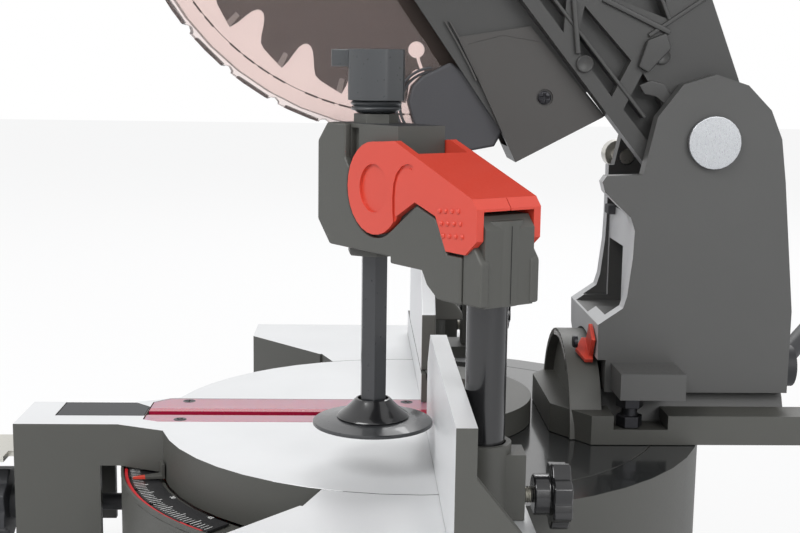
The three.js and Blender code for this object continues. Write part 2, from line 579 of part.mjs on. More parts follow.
function fenceCasting() {
  const f = fence;
  const face = slab("y", [
    [f.innerEnd, fenceLow], [f.nearEnd, fenceLow], [f.nearEnd, fenceTop], [f.innerEnd + f.innerSlope,
      fenceTop],
    [f.innerEnd, fenceTop - f.innerSlope],
  ], FENCE_FACE, faceRear);
  const left = block(-f.nearEnd, -f.leftInner, FENCE_FACE, faceRear, fenceLow, f.leftTop);
  const groove = block(
    -f.nearEnd - OVERCUT, OVERCUT - f.leftInner, FENCE_FACE + slide.tongueFront - GAP,
    FENCE_FACE + slide.tongueFront + slide.tongueThick + GAP, slideBottom - slide.tongueDeep - GAP,
      f.leftTop + OVERCUT,
  );
  const feet = [[f.innerEnd, f.nearEnd], [-f.nearEnd, -f.leftInner]].map(([x0, x1]) =>
    block(x0, x1, FENCE_FACE, FENCE_FACE + f.foot, fenceLow, footTop),
  );
  const bridge = slab("z", arcShape(f.bridgeOuter, f.bridgeInner, 0, 180), fenceLow, f.bridgeTop, 20);
  const behind = block(-f.nearEnd, f.nearEnd, FENCE_FACE, f.nearEnd, 0, fenceTop);
  const web = slab("x", [
    [FENCE_FACE + OVERCUT, fenceLow], [f.webFoot, fenceLow], [f.webFoot, f.webLow], [FENCE_FACE + OVERCUT,
      f.webHigh],
  ], f.nearEnd - f.webThick, f.nearEnd);
  const lockX = -slideLock.x;
  const stand = block(
    lockX - slideLock.standHalf, lockX + slideLock.standHalf, FENCE_FACE + OVERCUT, slideLock.y, fenceLow,
    footTop,
  );
  const post = block(
    lockX - slideLock.postHalf, lockX + slideLock.postHalf, slideLock.y - slideLock.thick, slideLock.y,
    fenceLow,
    slideLock.z + slideLock.postHalf,
  );
  const studHole = bar("y", starKnob.thread + GAP, slideLock.y - 2 * slideLock.thick, slideLock.y + OVERCUT,
    [lockX, slideLock.z], 16);
  const right = postSocket(socket.top);
  const other = postSocket(f.leftTop - GAP);
  const rightAt = [socket.x, socket.y, 0];
  const otherAt = [-socket.leftX, socket.y, 0];
  const whole = join(
    face, left, ...feet, common(bridge, behind), web, stand, post, moved(right.body, ...rightAt),
      moved(other.body, ...otherAt),
  );
  return cut(whole, groove, studHole, moved(right.room, ...rightAt), moved(other.room, ...otherAt));
}

// The tall left face slides along the fixed one. It has a tongue below and ribs behind.
function slidingFence() {
  const s = slide;
  const outer = -s.inner - s.length;
  const rear = FENCE_FACE + s.thick;
  const face = slab("y", [
    [outer, slideBottom], [-s.inner, slideBottom], [-s.inner, s.top - s.bevel], [-s.inner - s.bevel, s.top],
    [outer + s.outerBevel, s.top], [outer, s.top - s.outerBevel],
  ], FENCE_FACE, rear);
  const tongueStart = FENCE_FACE + s.tongueFront;
  const key = block(
    outer, -s.inner, tongueStart, tongueStart + s.tongueThick, slideBottom - s.tongueDeep,
      slideBottom + OVERCUT,
  );
  const last = rear + s.ribDepth - s.thick;
  const profile = [
    [rear - OVERCUT, s.ribLow], [last, s.ribLow], [last, s.ribLow + s.rib], [rear - OVERCUT, s.top - s.rib],
  ];
  const run = s.length - s.bevel - s.outerBevel - s.rib;
  const ribs = [];
  for (let i = 0; i < s.ribs; i++) {
    const x = outer + s.outerBevel + (i * run) / (s.ribs - 1);
    ribs.push(slab("x", profile, x, x + s.rib));
  }
  const shelf = block(outer + s.outerBevel, -s.inner - s.bevel, rear - OVERCUT, last, s.ribLow,
    s.ribLow + s.rib);
  return join(face, key, shelf, ...ribs);
}

// A moulded star knob on a steel thread along +Y.
function knobOnThread(threadStart, hubStart) {
  const star = moved(turnedBy(lobedKnob(starKnob), "x", -90), 0, hubStart, 0);
  return join(star, bar("y", starKnob.thread, threadStart, hubStart + OVERCUT, [0, 0], 14));
}

// Clamp, in its own frame: the post is the origin and +X runs along the arm to the rod.
const rodAt = [clamp.armLength, 0];
function clampBody() {
  const c = clamp;
  const low = c.body[0][1];
  const end = common(
    bar("z", c.endRadius, low, c.endTop, [0, 0], 24), block(-2 * c.half, 2 * c.half, -c.half, c.half, 0,
      c.collarTop),
  );
  const collar = bar("z", c.collar, c.collarFoot, c.collarTop, rodAt, 6, c.collar, Math.PI / 6);
  const rodRoom = bar("z", (c.rodHex + PLAY) / c.hexShare, 0, c.collarTop + OVERCUT, rodAt, 6);
  const postRoom = bar("z", c.post + GAP, 0, c.postTop + GAP, [0, 0], 20);
  const pinRoom = bar("y", clampLever.pin + GAP, -2 * c.half, 2 * c.half, [clampLever.x, clampLever.z], 20);
  return cut(join(slab("y", c.body, -c.half, c.half), end, collar), rodRoom, postRoom, pinRoom);
}

function clampLeverShape() {
  const l = clampLever;
  const centre = [l.x, l.z];
  const whole = join(slab("y", l.tail, -l.out, l.out), bar("y", l.radius, -l.out, l.out, centre, 28));
  const channel = slab("y", l.channel, -l.inside, l.inside);
  const recess = bar("y", l.recess, l.out - l.recessDeep, l.out + OVERCUT, centre, 28);
  return join(cut(whole, channel, recess), bar("y", l.pin, OVERCUT / 2 - l.out, l.out - 2 * l.recessDeep,
    centre, 20));
}

function clampRod() {
  const c = clamp;
  const hex = bar("z", c.rodHex / c.hexShare, c.rodBottom, c.rodTop, [0, 0], 6);
  return cut(hex, bar("z", c.rodBore, c.rodBoreBottom, c.rodTop + OVERCUT, [0, 0], 20));
}

function clampKnobShape() {
  const k = clampKnob;
  const knob = moved(lobedKnob({ ...k, hubLength: k.bottom - k.hubBottom }), 0, 0, k.hubBottom);
  return join(knob, bar("z", clamp.screw, clamp.screwBottom, k.bottom, [0, 0], 20));
}

const padShape = cut(
  turned("z", pad.profile, 32), bar("z", pad.bore, pad.boreBottom, TABLE_TOP + fence.height, [0, 0], 24),
);
const postShape = bar("z", clamp.post, footTop + GAP, clamp.postTop, [0, 0], 20);

// Rear platform and bevel quadrant, bolted on the turntable; it keeps above the base as it swings.
function rearPlatform() {
  const d = deck;
  const plate = slab("z", [
    [-d.frontHalf, d.front], [d.frontHalf, d.front], [d.half, d.shoulderY], [d.half, d.rear], [0, d.rear],
    [0, d.stripRear], [-d.half, d.stripRear], [-d.half, d.shoulderY],
  ], d.bottom, d.top);
  const above = block(-d.half, d.half, 0, d.rear, d.bottom, 2 * d.top);
  const arch = common(bar("y", d.quadrant, d.quadrantFront, d.quadrantRear, [0, bevel.z], 40), above);
  const trough = bar("y", d.trough, d.quadrantRear, d.rear + OVERCUT, [0, bevel.z], 36);
  const recessFloor = d.quadrantFront + d.recessDeep;
  const recess = cut(
    bar("y", d.recess, d.quadrantFront - OVERCUT, recessFloor, [0, bevel.z], 36), block(-d.half, d.half, 0,
      d.rear, 0, d.top),
  );
  const bore = bar("y", bevel.pin + PLAY, d.quadrantFront - OVERCUT, d.rear, [0, bevel.z], 28);
  const notch = block(d.notchLeft, d.half + OVERCUT, d.notchFront, d.notchRear, d.notchFloor,
    d.top + OVERCUT);
  const tapped = bar("z", stopBolt.shank + GAP, 0, d.top, [stopBolt.x, stopBolt.y], 16);
  const thread = bar("y", bevelLock.rod + GAP, recessFloor - OVERCUT, d.rear, [0,
    bevel.z + bevelLock.radius], 16);
  return cut(join(cut(plate, trough), arch), recess, bore, notch, tapped, thread);
}

const stopAt = [stopBolt.x, stopBolt.y];
const stopBoltShape = join(
  bar("z", stopBolt.shank, stopBolt.shankLow, stopBolt.top - OVERCUT, stopAt, 16),
  bar("z", stopBolt.nut, deck.notchFloor + GAP, stopBolt.nutTop, stopAt, 6),
  bar("z", stopBolt.head, stopBolt.headLow, stopBolt.top, stopAt, 6),
);

// Column: two ears carry the head; the drum below turns on the bevel pin, above the cut for a tilt to the left.
function columnCasting() {
  const c = column;
  const reach = 2 * c.rear;
  const inner = chop.hubRight + c.earPlay;
  const drum = bar("y", bevel.drum, c.front, c.rear, [0, bevel.z], 36);
  const lug = block(c.half - OVERCUT, c.lugHalf, c.lugFront, c.lugRear, c.lugBottom, c.lugTop);
  const floor = bevel.z + c.leftCut / 2;
  const under = slab("y", [[c.leftCut, floor], [c.leftCut - reach, floor + reach], [-reach, 0], [c.leftCut,
    0]], 0, reach);
  const below = block(-reach, reach, 0, reach, -reach, floor);
  const overArch = bar("y", deck.quadrant + 2 * PLAY, 0, c.front, [0, bevel.z], 40);
  const fork = block(-inner, inner, 0, reach, c.faceTop, reach);
  const middle = block(-inner, inner, 0, c.face, c.faceLow, c.faceTop + OVERCUT);
  const slot = block(c.slotLeft, c.slotRight, 0, c.slotRear, c.slotLow, c.slotHigh);
  const farFront = block(-reach, 0, 0, c.farFront, c.farLow, reach);
  const side = c.half - c.cavity;
  const cavity = block(-side, side, c.cavityFront, reach, c.cavityLow, c.faceTop - c.cavity);
  const rib = block(-c.rib / 2, c.rib / 2, c.cavityFront - OVERCUT, c.rear - c.cavity,
    c.cavityLow - OVERCUT, c.faceTop - c.rib);
  const body = join(cut(slab("x", c.profile, -c.half, c.half), cavity), rib, lug, drum);
  const core = bar("y", bevel.core, c.front, bevel.coreRear, [0, bevel.z], 32);
  const solidColumn = join(cut(body, under, below, overArch, fork, middle, slot, farFront), core);
  const half = bevelLock.rod + GAP;
  const slotShape = arcShape(
    bevelLock.radius + half, bevelLock.radius - half, 90 - bevel.range - bevelLock.slotExtra,
      90 + bevelLock.slotExtra,
  );
  const arcSlot = moved(slab("y", slotShape, 0, reach, 20), 0, 0, bevel.z);
  const bore = bar("y", bevel.pin + PLAY, 0, reach, [0, bevel.z], 28);
  const shaftHole = bar("x", chop.shaft + GAP, -reach, reach, [chop.y, chop.z], 28);
  const pinHole = bar("x", headLock.pin + GAP, -reach, 0, [headLock.y, headLock.z], 16);
  return cut(solidColumn, arcSlot, bore, shaftHole, pinHole);
}

function bevelPointerShape() {
  const p = bevelPointer;
  const nose = slab("z", [
    [p.half, p.back], [-p.half, p.back], [-p.half, p.shoulder], [0, p.tip], [p.half, p.shoulder],
  ], p.low, p.high);
  const tab = block(-p.tabHalf, p.tabHalf, p.tabFront, p.back, p.low, p.tabHigh);
  return moved(turnedBy(join(nose, tab), "y", p.turn), 0, 0, bevel.z);
}

function bevelLockLever() {
  const l = bevelLock;
  const start = column.rear + GAP;
  const rod = bar("y", l.rod, l.threadFront, start + OVERCUT, [0, 0], 16);
  const hub = bar("y", l.hub, start, start + l.hubLength, [0, 0], 24);
  const lever = join(
    bar("z", l.leverRadius, l.leverStart - l.hub / 2, l.leverEnd, [0, 0], 16),
    turned("z", [[0, l.leverEnd - l.ball], [l.ball, l.leverEnd], [0, l.leverEnd + l.ball]], 16),
  );
  const leaned = moved(turnedBy(turnedBy(lever, "x", -l.lean), "y", l.turn), 0, start + l.hubLength / 2, 0);
  return moved(join(rod, hub, leaned), 0, 0, bevel.z + l.radius);
}

function chopShaft() {
  const end = column.half + GAP;
  const cap = (from) => bar("x", chop.cap, from, from + chop.capThick, [0, 0], 24);
  const rod = bar("x", chop.shaft, -end - OVERCUT / 2, end + OVERCUT / 2, [0, 0], 20);
  return moved(join(rod, cap(end), cap(-end - chop.capThick)), 0, chop.y, chop.z);
}

function lockPin() {
  const outer = -column.half - GAP;
  const knobEnd = outer - headLock.stem;
  return moved(join(
    bar("x", headLock.pin, knobEnd - OVERCUT, -headLock.tip, [0, 0], 16),
    bar("x", headLock.knob, knobEnd - headLock.knobLength, knobEnd, [0, 0], 20),
  ), 0, headLock.y, headLock.z);
}

// Return spring: one wire round the chop shaft, with a straight leg at each end.
const coilLength = spring.curls * 2 * Math.PI * spring.radius;
const legShare = spring.leg / (coilLength + 2 * spring.leg);
class SpringPath extends THREE.Curve {
  getPoint(share, target = new THREE.Vector3()) {
    const turns = Math.min(Math.max((share - legShare) / (1 - 2 * legShare), 0), 1) * spring.curls;
    const past = share < legShare ? share - legShare : Math.max(share - 1 + legShare, 0);
    const turn = turns * 2 * Math.PI;
    const out = (past * spring.leg) / legShare;
    return target.set(
      spring.from + turns * spring.pitch,
      spring.radius * Math.cos(turn) - out * Math.sin(turn),
      spring.radius * Math.sin(turn) + out * Math.cos(turn),
    );
  }
}
function returnSpring() {
  const shape = new THREE.Shape();
  for (let i = 0; i < spring.sides; i++) {
    const turn = (i / spring.sides) * 2 * Math.PI;
    const [a, b] = [spring.wire * Math.cos(turn), spring.wire * Math.sin(turn)];
    if (i) shape.lineTo(a, b);
    else shape.moveTo(a, b);
  }
  const path = new SpringPath();
  const steps = spring.curls * spring.steps + 2;
  const wire = new THREE.ExtrudeGeometry(shape, { steps, extrudePath: path, bevelEnabled: false });
  let least = Infinity;
  const count = steps * spring.steps;
  const points = Array.from({ length: count + 1 }, (_, i) => path.getPoint(i / count));
  points.forEach((p, i) => {
    for (let j = i + 5 * spring.steps; j <= count; j++) least = Math.min(least, p.distanceTo(points[j]));
  });
  console.log("least gap of the return spring to itself, mm:", (least - 2 * spring.wire).toFixed(2));
  return moved(solid(wire), 0, chop.y, chop.z);
}

// Head, in its own frame: the arbor is the origin.
function sawBlade() {
  const b = blade;
  const pitch = (2 * Math.PI) / b.teeth;
  const rim = [];
  for (let i = 0; i < b.teeth; i++) {
    b.toothShares.forEach((share, k) => {
      const r = BLADE_RADIUS - b.toothDepths[k];
      const turn = -(i + share) * pitch;
      rim.push([turn, r]);
    });
  }
  const outline = rim.map(([turn, r]) => [-r * Math.cos(turn), r * Math.sin(turn)]);
  const half = b.plate / 2;
  const slots = [];
  for (let i = 0; i < b.slots; i++) {
    const hole = bar("x", b.slotHole, -OVERCUT, OVERCUT, [0, b.slotRadius], 14);
    const line = block(-OVERCUT, OVERCUT, -b.slotWidth / 2, b.slotWidth / 2, b.slotRadius, b.slotEnd);
    slots.push(turnedBy(join(hole, line), "x", i * (360 / b.slots) + b.slotTurn));
  }
  return cut(slab("x", outline, -half, half), bar("x", b.bore, -OVERCUT, OVERCUT, [0, 0], 20), ...slots);
}

// The side of the head that lies further than this from the arbor, along the way that is down once lowered.
function farSide(distance, keepFar) {
  const size = 2 * upperGuard.radius;
  const body = block(-size, size, -size, size, keepFar ? -size : -distance, keepFar ? -distance : size);
  return turnedBy(body, "x", -lowerGuard.downTurn);
}

function lowerGuardShape() {
  const g = lowerGuard;
  const disc = common(bar("x", g.radius, -g.side, g.side, [0, 0], g.sides), farSide(g.chord, true));
  const hub = bar("x", g.hub, -g.side, g.side, [0, 0], 48);
  const inside = bar("x", g.radius - g.rim, g.wall - g.side, g.side - g.wall, [0, 0], 48);
  const bore = bar("x", g.bore, -2 * g.side, 2 * g.side, [0, 0], 30);
  const notches = [];
  for (let i = 0; i < g.notches; i++) {
    const notch = bar("x", g.notch, -2 * g.side, 2 * g.side, [0, g.notchCentre], 8);
    notches.push(turnedBy(notch, "x", (i + 1 / 2) * (360 / g.notches)));
  }
  return cut(join(disc, hub), inside, bore, ...notches);
}

function upperGuardShape() {
  const g = upperGuard;
  const disc = common(bar("x", g.radius, -g.half, g.half, [0, 0], 72), farSide(g.chord, false));
  const duct = slab("x", g.chute, -g.half, g.half);
  const port = bar("y", dustPort.outer, g.portStart, g.portEnd, [0, dustPort.z], 32);
  const inside = bar("x", g.radius - g.wall, g.wall - g.half, g.half - g.wall, [0, 0], 60);
  const ductRoom = slab("x", g.chuteInside, g.wall - g.half, g.half - g.wall);
  const portRoom = bar("y", dustPort.outer - dustPort.wall, g.portStart - g.portEnd, g.portEnd + OVERCUT,
    [0, dustPort.z], 32);
  const collarHole = bar("x", g.collarHole, 0, 2 * g.half, [0, 0], 30);
  const boltHole = bar("x", g.boltHole, -2 * g.half, 0, [0, 0], 24);
  return cut(join(disc, duct, port), inside, ductRoom, portRoom, collarHole, boltHole);
}

function dustPortShape() {
  const p = dustPort;
  const start = upperGuard.portEnd + GAP;
  const end = start + p.length;
  const centre = [0, p.z];
  const bead = bar("y", p.outer + p.bead, end - p.beadLength, end, centre, 24);
  return cut(
    join(bar("y", p.outer, start, end, centre, 24), bead), bar("y", p.outer - p.wall, start - OVERCUT,
      end + OVERCUT, centre, 24),
  );
}

function scoopShape() {
  const gap = bar("x", scoop.slotRadius, -scoop.slotHalf, scoop.slotHalf, [0, 0], lowerGuard.sides);
  return cut(slab("x", scoop.outline, -scoop.half, scoop.half), gap);
}

// An outline round two circles, as a belt lies: the arbor's and the motor's.
function beltOutline(near, far) {
  const span = Math.hypot(drive.y, drive.z);
  const line = Math.atan2(drive.z, drive.y);
  const lean = Math.acos((near - far) / span);
  const shape = new THREE.Shape();
  shape.absarc(0, 0, near, line + lean, line - lean + 2 * Math.PI, false);
  shape.absarc(drive.y, drive.z, far, line - lean, line + lean, false);
  return shape;
}
const beltLoop = (grow, from, to) =>
  slab("x", beltOutline(spindle.pulley + GAP + grow, motor.pulley + GAP + grow), from, to, drive.sides);

function armCasting() {
  const a = arm;
  const d = drive;
  const pivot = [pivotY, pivotZ];
  const plate = slab("x", a.outline, a.left, a.right);
  const pockets = a.pockets.map((pocket) => slab("x", pocket, a.left + a.web, a.right + OVERCUT));
  const bracket = slab("x", a.bracket, a.left, a.right);
  const pins = a.ejectors.map((centre) =>
    bar("x", a.ejector, a.left + a.web - a.ejectorOut, a.left + a.web + a.ejectorOut, centre, 14),
  );
  const house = slab("x", beltOutline(d.radius, d.motorRadius), d.left, d.right, d.sides);
  const room = slab(
    "x", beltOutline(d.radius - d.wall, d.motorRadius - d.wall), d.left + d.wall, d.right + OVERCUT,
      d.sides,
  );
  const collar = bar("x", d.collar, d.collarLeft, d.left + d.wall, [0, 0], 30);
  const seat = bar("x", spindleBearing.outer + GAP, spindleBearing.left - GAP, d.right, [0, 0], 24);
  const spindleHole = bar("x", spindleBearing.shield, 0, d.right, [0, 0], 20);
  const hub = bar("x", chop.hub, -chop.hubLeft, chop.hubRight, pivot, 40);
  const shaftHole = bar("x", chop.shaft + PLAY, -2 * chop.hubRight, 2 * chop.hubRight, pivot, 28);
  return cut(join(cut(plate, ...pockets), ...pins, bracket, house, collar, hub), room, seat, spindleHole,
    shaftHole);
}

const driveAt = [drive.y, drive.z];
const driveCover = cut(
  slab("x", beltOutline(drive.radius, drive.motorRadius), drive.right + GAP,
    drive.right + GAP + drive.cover, drive.sides),
  bar("x", motor.shaft + PLAY, drive.right, 2 * drive.right, driveAt, 16),
);

function spindleShape() {
  const s = spindle;
  return cut(join(
    bar("x", s.radius, -s.left, s.right, [0, 0], 24),
    bar("x", flange.radius, blade.plate / 2 + GAP, flange.right, [0, 0], 28),
    bar("x", s.pulley, s.pulleyLeft, s.pulleyRight, [0, 0], 24),
  ), bar("x", s.bore, -s.left - OVERCUT, s.boreEnd, [0, 0], 16));
}

const flangeLeft = -blade.plate / 2 - GAP;
const flangeShape = ring("x", flange.radius, flange.bore, flangeLeft - flange.thick, flangeLeft, [0, 0],
  28);
const boltRight = flangeLeft - flange.thick - GAP;
const bladeBolt = join(
  bar("x", boltHead.radius, boltRight - boltHead.height, boltRight, [0, 0], 6),
  bar("x", boltHead.washer, boltRight - boltHead.washerThick, boltRight, [0, 0], 20),
  bar("x", boltHead.shank, boltRight - OVERCUT, boltHead.shankEnd, [0, 0], 16),
);

// Motor parts, about the motor's own axis.
function motorHousing() {
  const m = motor;
  const tube = ring("x", m.radius, m.radius - m.wall, m.left, m.right, [0, 0], m.sides);
  const bands = m.bands.map((x) => ring("x", m.radius + m.bandOut, m.radius - m.wall / 2, x, x + m.band,
    [0, 0], m.sides));
  const vents = [];
  for (let i = 0; i < m.vents; i++) {
    const vent = block(m.ventLeft, m.ventRight, -m.ventHalf, m.ventHalf, m.radius - 2 * m.wall,
      m.radius + OVERCUT);
    vents.push(turnedBy(vent, "x", (i + 1 / 2) * (360 / m.vents)));
  }
  const across = (radius, from, to) =>
    [0, 180].map((turn) => turnedBy(bar("z", radius, from, to, [brush.x, 0], 20), "x", turn + brush.turn));
  const bosses = across(brush.radius + brush.bossOut, m.radius - m.wall / 2, brush.boss);
  return cut(join(tube, ...bands, ...bosses), ...vents, ...across(brush.radius + GAP, brush.boreFoot,
    2 * brush.boss));
}

const brushCap = join(
  bar("z", brush.radius, brush.foot, brush.boss + OVERCUT, [brush.x, 0], 18),
  bar("z", brush.cap, brush.boss + GAP, brush.boss + GAP + brush.capThick, [brush.x, 0], 18),
);

function motorEndCap() {
  const m = motor;
  const start = m.right + GAP;
  const end = start + m.cap;
  const dome = turned("x", [
    [0, start], [m.radius, start], [m.radius, start + m.capTaper], [m.capRadius, start + m.capWaist],
    [m.capFace, end], [0, end],
  ], m.sides);
  const room = bar("x", m.radius - m.wall, start - OVERCUT, start + m.capTaper, [0, 0], 30);
  const neck = bar("x", m.capRadius - m.wall, start, end - 2 * m.wall, [0, 0], 30);
  const seatOuter = capBearing.outer + m.wall;
  const seat = ring("x", seatOuter, capBearing.outer + GAP, start + m.wall, end - m.wall, [0, 0], 20);
  const seatRoom = bar("x", capBearing.outer + GAP, start, end - 2 * m.wall, [0, 0], 20);
  const face = bar("x", seatOuter, 0, 2 * end, [0, 0], 20);
  const slits = [];
  for (let i = 0; i < m.slits; i++) {
    const z = (i - (m.slits - 1) / 2) * m.slitPitch;
    const half = Math.sqrt(m.slitReach ** 2 - z * z);
    slits.push(cut(block(start, 2 * end, -half, half, z - m.slitHalf, z + m.slitHalf), face));
  }
  const glandHole = bar("y", gland.radius + GAP, 0, 2 * m.radius, [gland.x, gland.z], 18);
  return cut(join(cut(dome, room, neck), cut(seat, seatRoom)), ...slits, glandHole);
}

function glandShape() {
  const at = [gland.x, gland.z];
  return cut(join(
    bar("y", gland.radius, gland.inside, gland.end, at, 18),
    bar("y", gland.collar, gland.start, gland.start + gland.collarThick, at, 18),
  ), bar("y", gland.bore, 0, 2 * gland.end, at, 14));
}

function armatureShape() {
  const m = motor;
  const disc = bar("x", m.fan, m.fanLeft, m.fanDisc, [0, 0], 24);
  const fanHub = bar("x", m.fanHub, m.fanLeft, m.fanRight, [0, 0], 20);
  const blades = [];
  for (let i = 0; i < m.fanBlades; i++) {
    const vane = block(m.fanDisc - m.fanThin, m.fanRight, -m.fanThin, m.fanThin, m.fanHub - OVERCUT,
      m.fan - OVERCUT);
    blades.push(turnedBy(vane, "x", i * (360 / m.fanBlades)));
  }
  return join(
    bar("x", m.shaft, m.shaftLeft, m.right + m.cap - 2 * m.wall - 2 * GAP, [0, 0], 20),
    bar("x", m.pulley, spindle.pulleyLeft, spindle.pulleyRight, [0, 0], 24), disc, fanHub, ...blades,
    bar("x", m.rotor, m.rotorLeft, m.rotorRight, [0, 0], 20), bar("x", m.ringRadius, m.ringLeft,
      m.ringRight, [0, 0], 24),
  );
}

// Handles: closed loops with the hand's opening through them.
function mainHandle() {
  const h = handle;
  const loop = slab("x", roundedBox(h.length, h.height, h.corner), -h.half, h.half, 8);
  const opening = moved(
    slab("x", roundedBox(h.openLength, h.openHigh - h.openLow, h.openCorner), -2 * h.half, 2 * h.half, 6),
    0, 0, (h.openHigh + h.openLow) / 2,
  );
  const neck = block(-h.half, h.neckRight, h.neckFront, h.neckRear, h.neckLow, h.neckHigh);
  const pocket = block(
    -trigger.half - PLAY, trigger.half + PLAY, trigger.front - PLAY, trigger.rear + PLAY,
      h.openHigh - OVERCUT, trigger.pocketTop,
  );
  const buttonRoom = bar("x", button.radius + GAP, button.pocket, 2 * h.half, [button.y, button.z], 18);
  return cut(join(cut(loop, opening), neck), pocket, buttonRoom);
}
const triggerShape = slab("x", [
  [trigger.front, trigger.top], [trigger.rear, trigger.top], [trigger.rear, trigger.low + trigger.slope],
  [trigger.rear - trigger.slope, trigger.low], [trigger.front + trigger.slope, trigger.low],
  [trigger.front, trigger.low + trigger.slope],
], -trigger.half, trigger.half);
const buttonShape = bar("x", button.radius, button.inside, button.out, [button.y, button.z], 18);

function carryHandle() {
  const c = carry;
  const loop = slab("x", roundedBox(c.length, c.height, c.corner), -c.half, c.half, 8);
  const opening = moved(slab("x", roundedBox(c.openLength, c.openHeight, c.openCorner), -2 * c.half,
    2 * c.half, 6), 0, 0, -c.openDrop);
  const below = bar("x", upperGuard.radius + GAP, -2 * c.half, 2 * c.half, [0, 0], 72);
  return cut(moved(cut(loop, opening), 0, c.y, c.z), below);
}

part(saw, "base_casting", baseCasting(), machined);
[["left", -1], ["right", 1]].forEach(([side, way]) => {
  part(saw, `foot_front_${side}`, footShape, rubber, [way * foot.x, -foot.frontY, 0]);
  part(saw, `foot_rear_${side}`, footShape, rubber, [way * foot.x, foot.rearY, 0]);
});
part(saw, "mitre_scale", scalePlate(), machined);
part(saw, "pivot_bolt", pivotBoltShape, steel);
part(saw, "turntable", turntableCasting(), machined);
part(saw, "kerf_insert_left", kerfInsert(-1), redTint);
part(saw, "kerf_insert_right", kerfInsert(1), redTint);
part(saw, "arm_tongue", slab("z", tongueOutline(0), TABLE_TOP - tongue.thick, TABLE_TOP), black);
part(saw, "mitre_pointer", mitrePointerShape(), red);
part(saw, "mitre_lock_knob", mitreLock(), plastic);
part(saw, "detent_lever", detentLever(), steel);
part(saw, "fence_casting", fenceCasting(), machined);
part(saw, "fence_slide", slidingFence(), machined);
part(saw, "fence_slide_knob", knobOnThread(slideLock.tip, slideLock.knobStart), plastic, [-slideLock.x, 0,
  slideLock.z]);
part(saw, "socket_knob_right", knobOnThread(starKnob.start, starKnob.hubStart), plastic, [socket.x, 0,
  starKnob.z]);
part(saw, "socket_knob_left", knobOnThread(starKnob.start, starKnob.hubStart), plastic, [-socket.leftX, 0,
  starKnob.z]);
part(clampGroup, "clamp_post", postShape, black);
part(clampGroup, "clamp_body", clampBody(), casting);
part(clampGroup, "clamp_lever", clampLeverShape(), red);
part(clampGroup, "clamp_rod", clampRod(), blackSteel, [clamp.armLength, 0, 0]);
part(clampGroup, "clamp_knob", clampKnobShape(), black, [clamp.armLength, 0, 0]);
part(clampGroup, "clamp_pad", padShape, blackSteel, [clamp.armLength, 0, 0]);
part(saw, "rear_trunnion", rearPlatform(), casting);
part(saw, "bevel_pivot_pin", bar("y", bevel.pin, bevel.pinFront, bevel.pinRear, [0, bevel.z], 28), steel);
part(saw, "bevel_stop_bolt", stopBoltShape, steel);
part(saw, "bevel_lock_lever", bevelLockLever(), black);
part(saw, "column_casting", columnCasting(), casting);
part(saw, "bevel_pointer", bevelPointerShape(), red);
part(saw, "chop_shaft", chopShaft(), steel);
part(saw, "return_spring", returnSpring(), steel);
part(saw, "head_lock_pin", lockPin(), steel);
part(headGroup, "arm_casting", armCasting(), casting);
part(headGroup, "drive_cover", driveCover, casting);
part(headGroup, "upper_guard", upperGuardShape(), casting);
part(headGroup, "dust_port", dustPortShape(), plastic);
part(headGroup, "side_panel", slab("x", sidePanel.outline, drive.left, drive.left + sidePanel.thick),
  black);
part(headGroup, "dust_scoop", scoopShape(), rubber);
part(headGroup, "lower_guard", lowerGuardShape(), tint);
part(headGroup, "blade", sawBlade(), steel);
part(headGroup, "outer_flange", flangeShape, steel);
part(headGroup, "blade_bolt", bladeBolt, steel);
part(headGroup, "spindle", spindleShape(), steel);
part(headGroup, "spindle_bearing", ring(
  "x", spindleBearing.outer, spindleBearing.inner, spindleBearing.left, spindleBearing.right, [0, 0], 32,
), steel);
part(headGroup, "drive_belt", cut(
  beltLoop(belt.thick, belt.left, belt.right), beltLoop(0, belt.left - OVERCUT, belt.right + OVERCUT),
), rubber);
const motorPlace = [0, drive.y, drive.z];
part(headGroup, "motor_housing", motorHousing(), plastic, motorPlace);
part(headGroup, "motor_end_cap", motorEndCap(), plastic, motorPlace);
part(headGroup, "brush_cap_front", turnedBy(brushCap, "x", brush.turn), black, motorPlace);
part(headGroup, "brush_cap_rear", turnedBy(brushCap, "x", brush.turn + 180), black, motorPlace);
part(headGroup, "cable_gland", glandShape(), rubber, motorPlace);
part(headGroup, "armature", armatureShape(), copper, motorPlace);
part(headGroup, "armature_bearing", ring(
  "x", capBearing.outer, capBearing.inner, capBearing.left, capBearing.right, [0, 0], 28,
), steel, motorPlace);
part(headGroup, "field_stator", ring(
  "x", motor.field, motor.fieldBore, motor.fieldLeft, motor.fieldRight, [0, 0], 40,
), steel, motorPlace);
const gripPlace = [0, handle.y, handle.z];
const gripTurn = [handle.turn, 0, 0];
part(headGroup, "main_handle", mainHandle(), plastic, gripPlace, gripTurn);
part(headGroup, "trigger", triggerShape, red, gripPlace, gripTurn);
part(headGroup, "lock_off_button", buttonShape, red, gripPlace, gripTurn);
part(headGroup, "carry_handle", carryHandle(), plastic);

export default saw;
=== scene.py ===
"""Looks of the mitre saw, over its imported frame. Lengths are in millimetres until they reach Blender."""

import json
import math

import bmesh
import bpy
from mathutils import Matrix, Vector


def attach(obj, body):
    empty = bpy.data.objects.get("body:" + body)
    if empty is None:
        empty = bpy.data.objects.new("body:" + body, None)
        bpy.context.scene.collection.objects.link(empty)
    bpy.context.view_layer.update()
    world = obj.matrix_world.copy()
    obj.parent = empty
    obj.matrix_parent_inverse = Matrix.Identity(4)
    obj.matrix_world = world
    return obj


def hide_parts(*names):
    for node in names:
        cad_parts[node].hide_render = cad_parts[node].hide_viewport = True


bl_info = {
    "name": "Mitre saw looks",
    "version": (1, 0, 0),
    "blender": (4, 5, 0),
    "location": "View3D > Sidebar > Saw",
    "description": "Builds the visible surfaces of a mitre saw over its frame",
    "category": "Object",
}

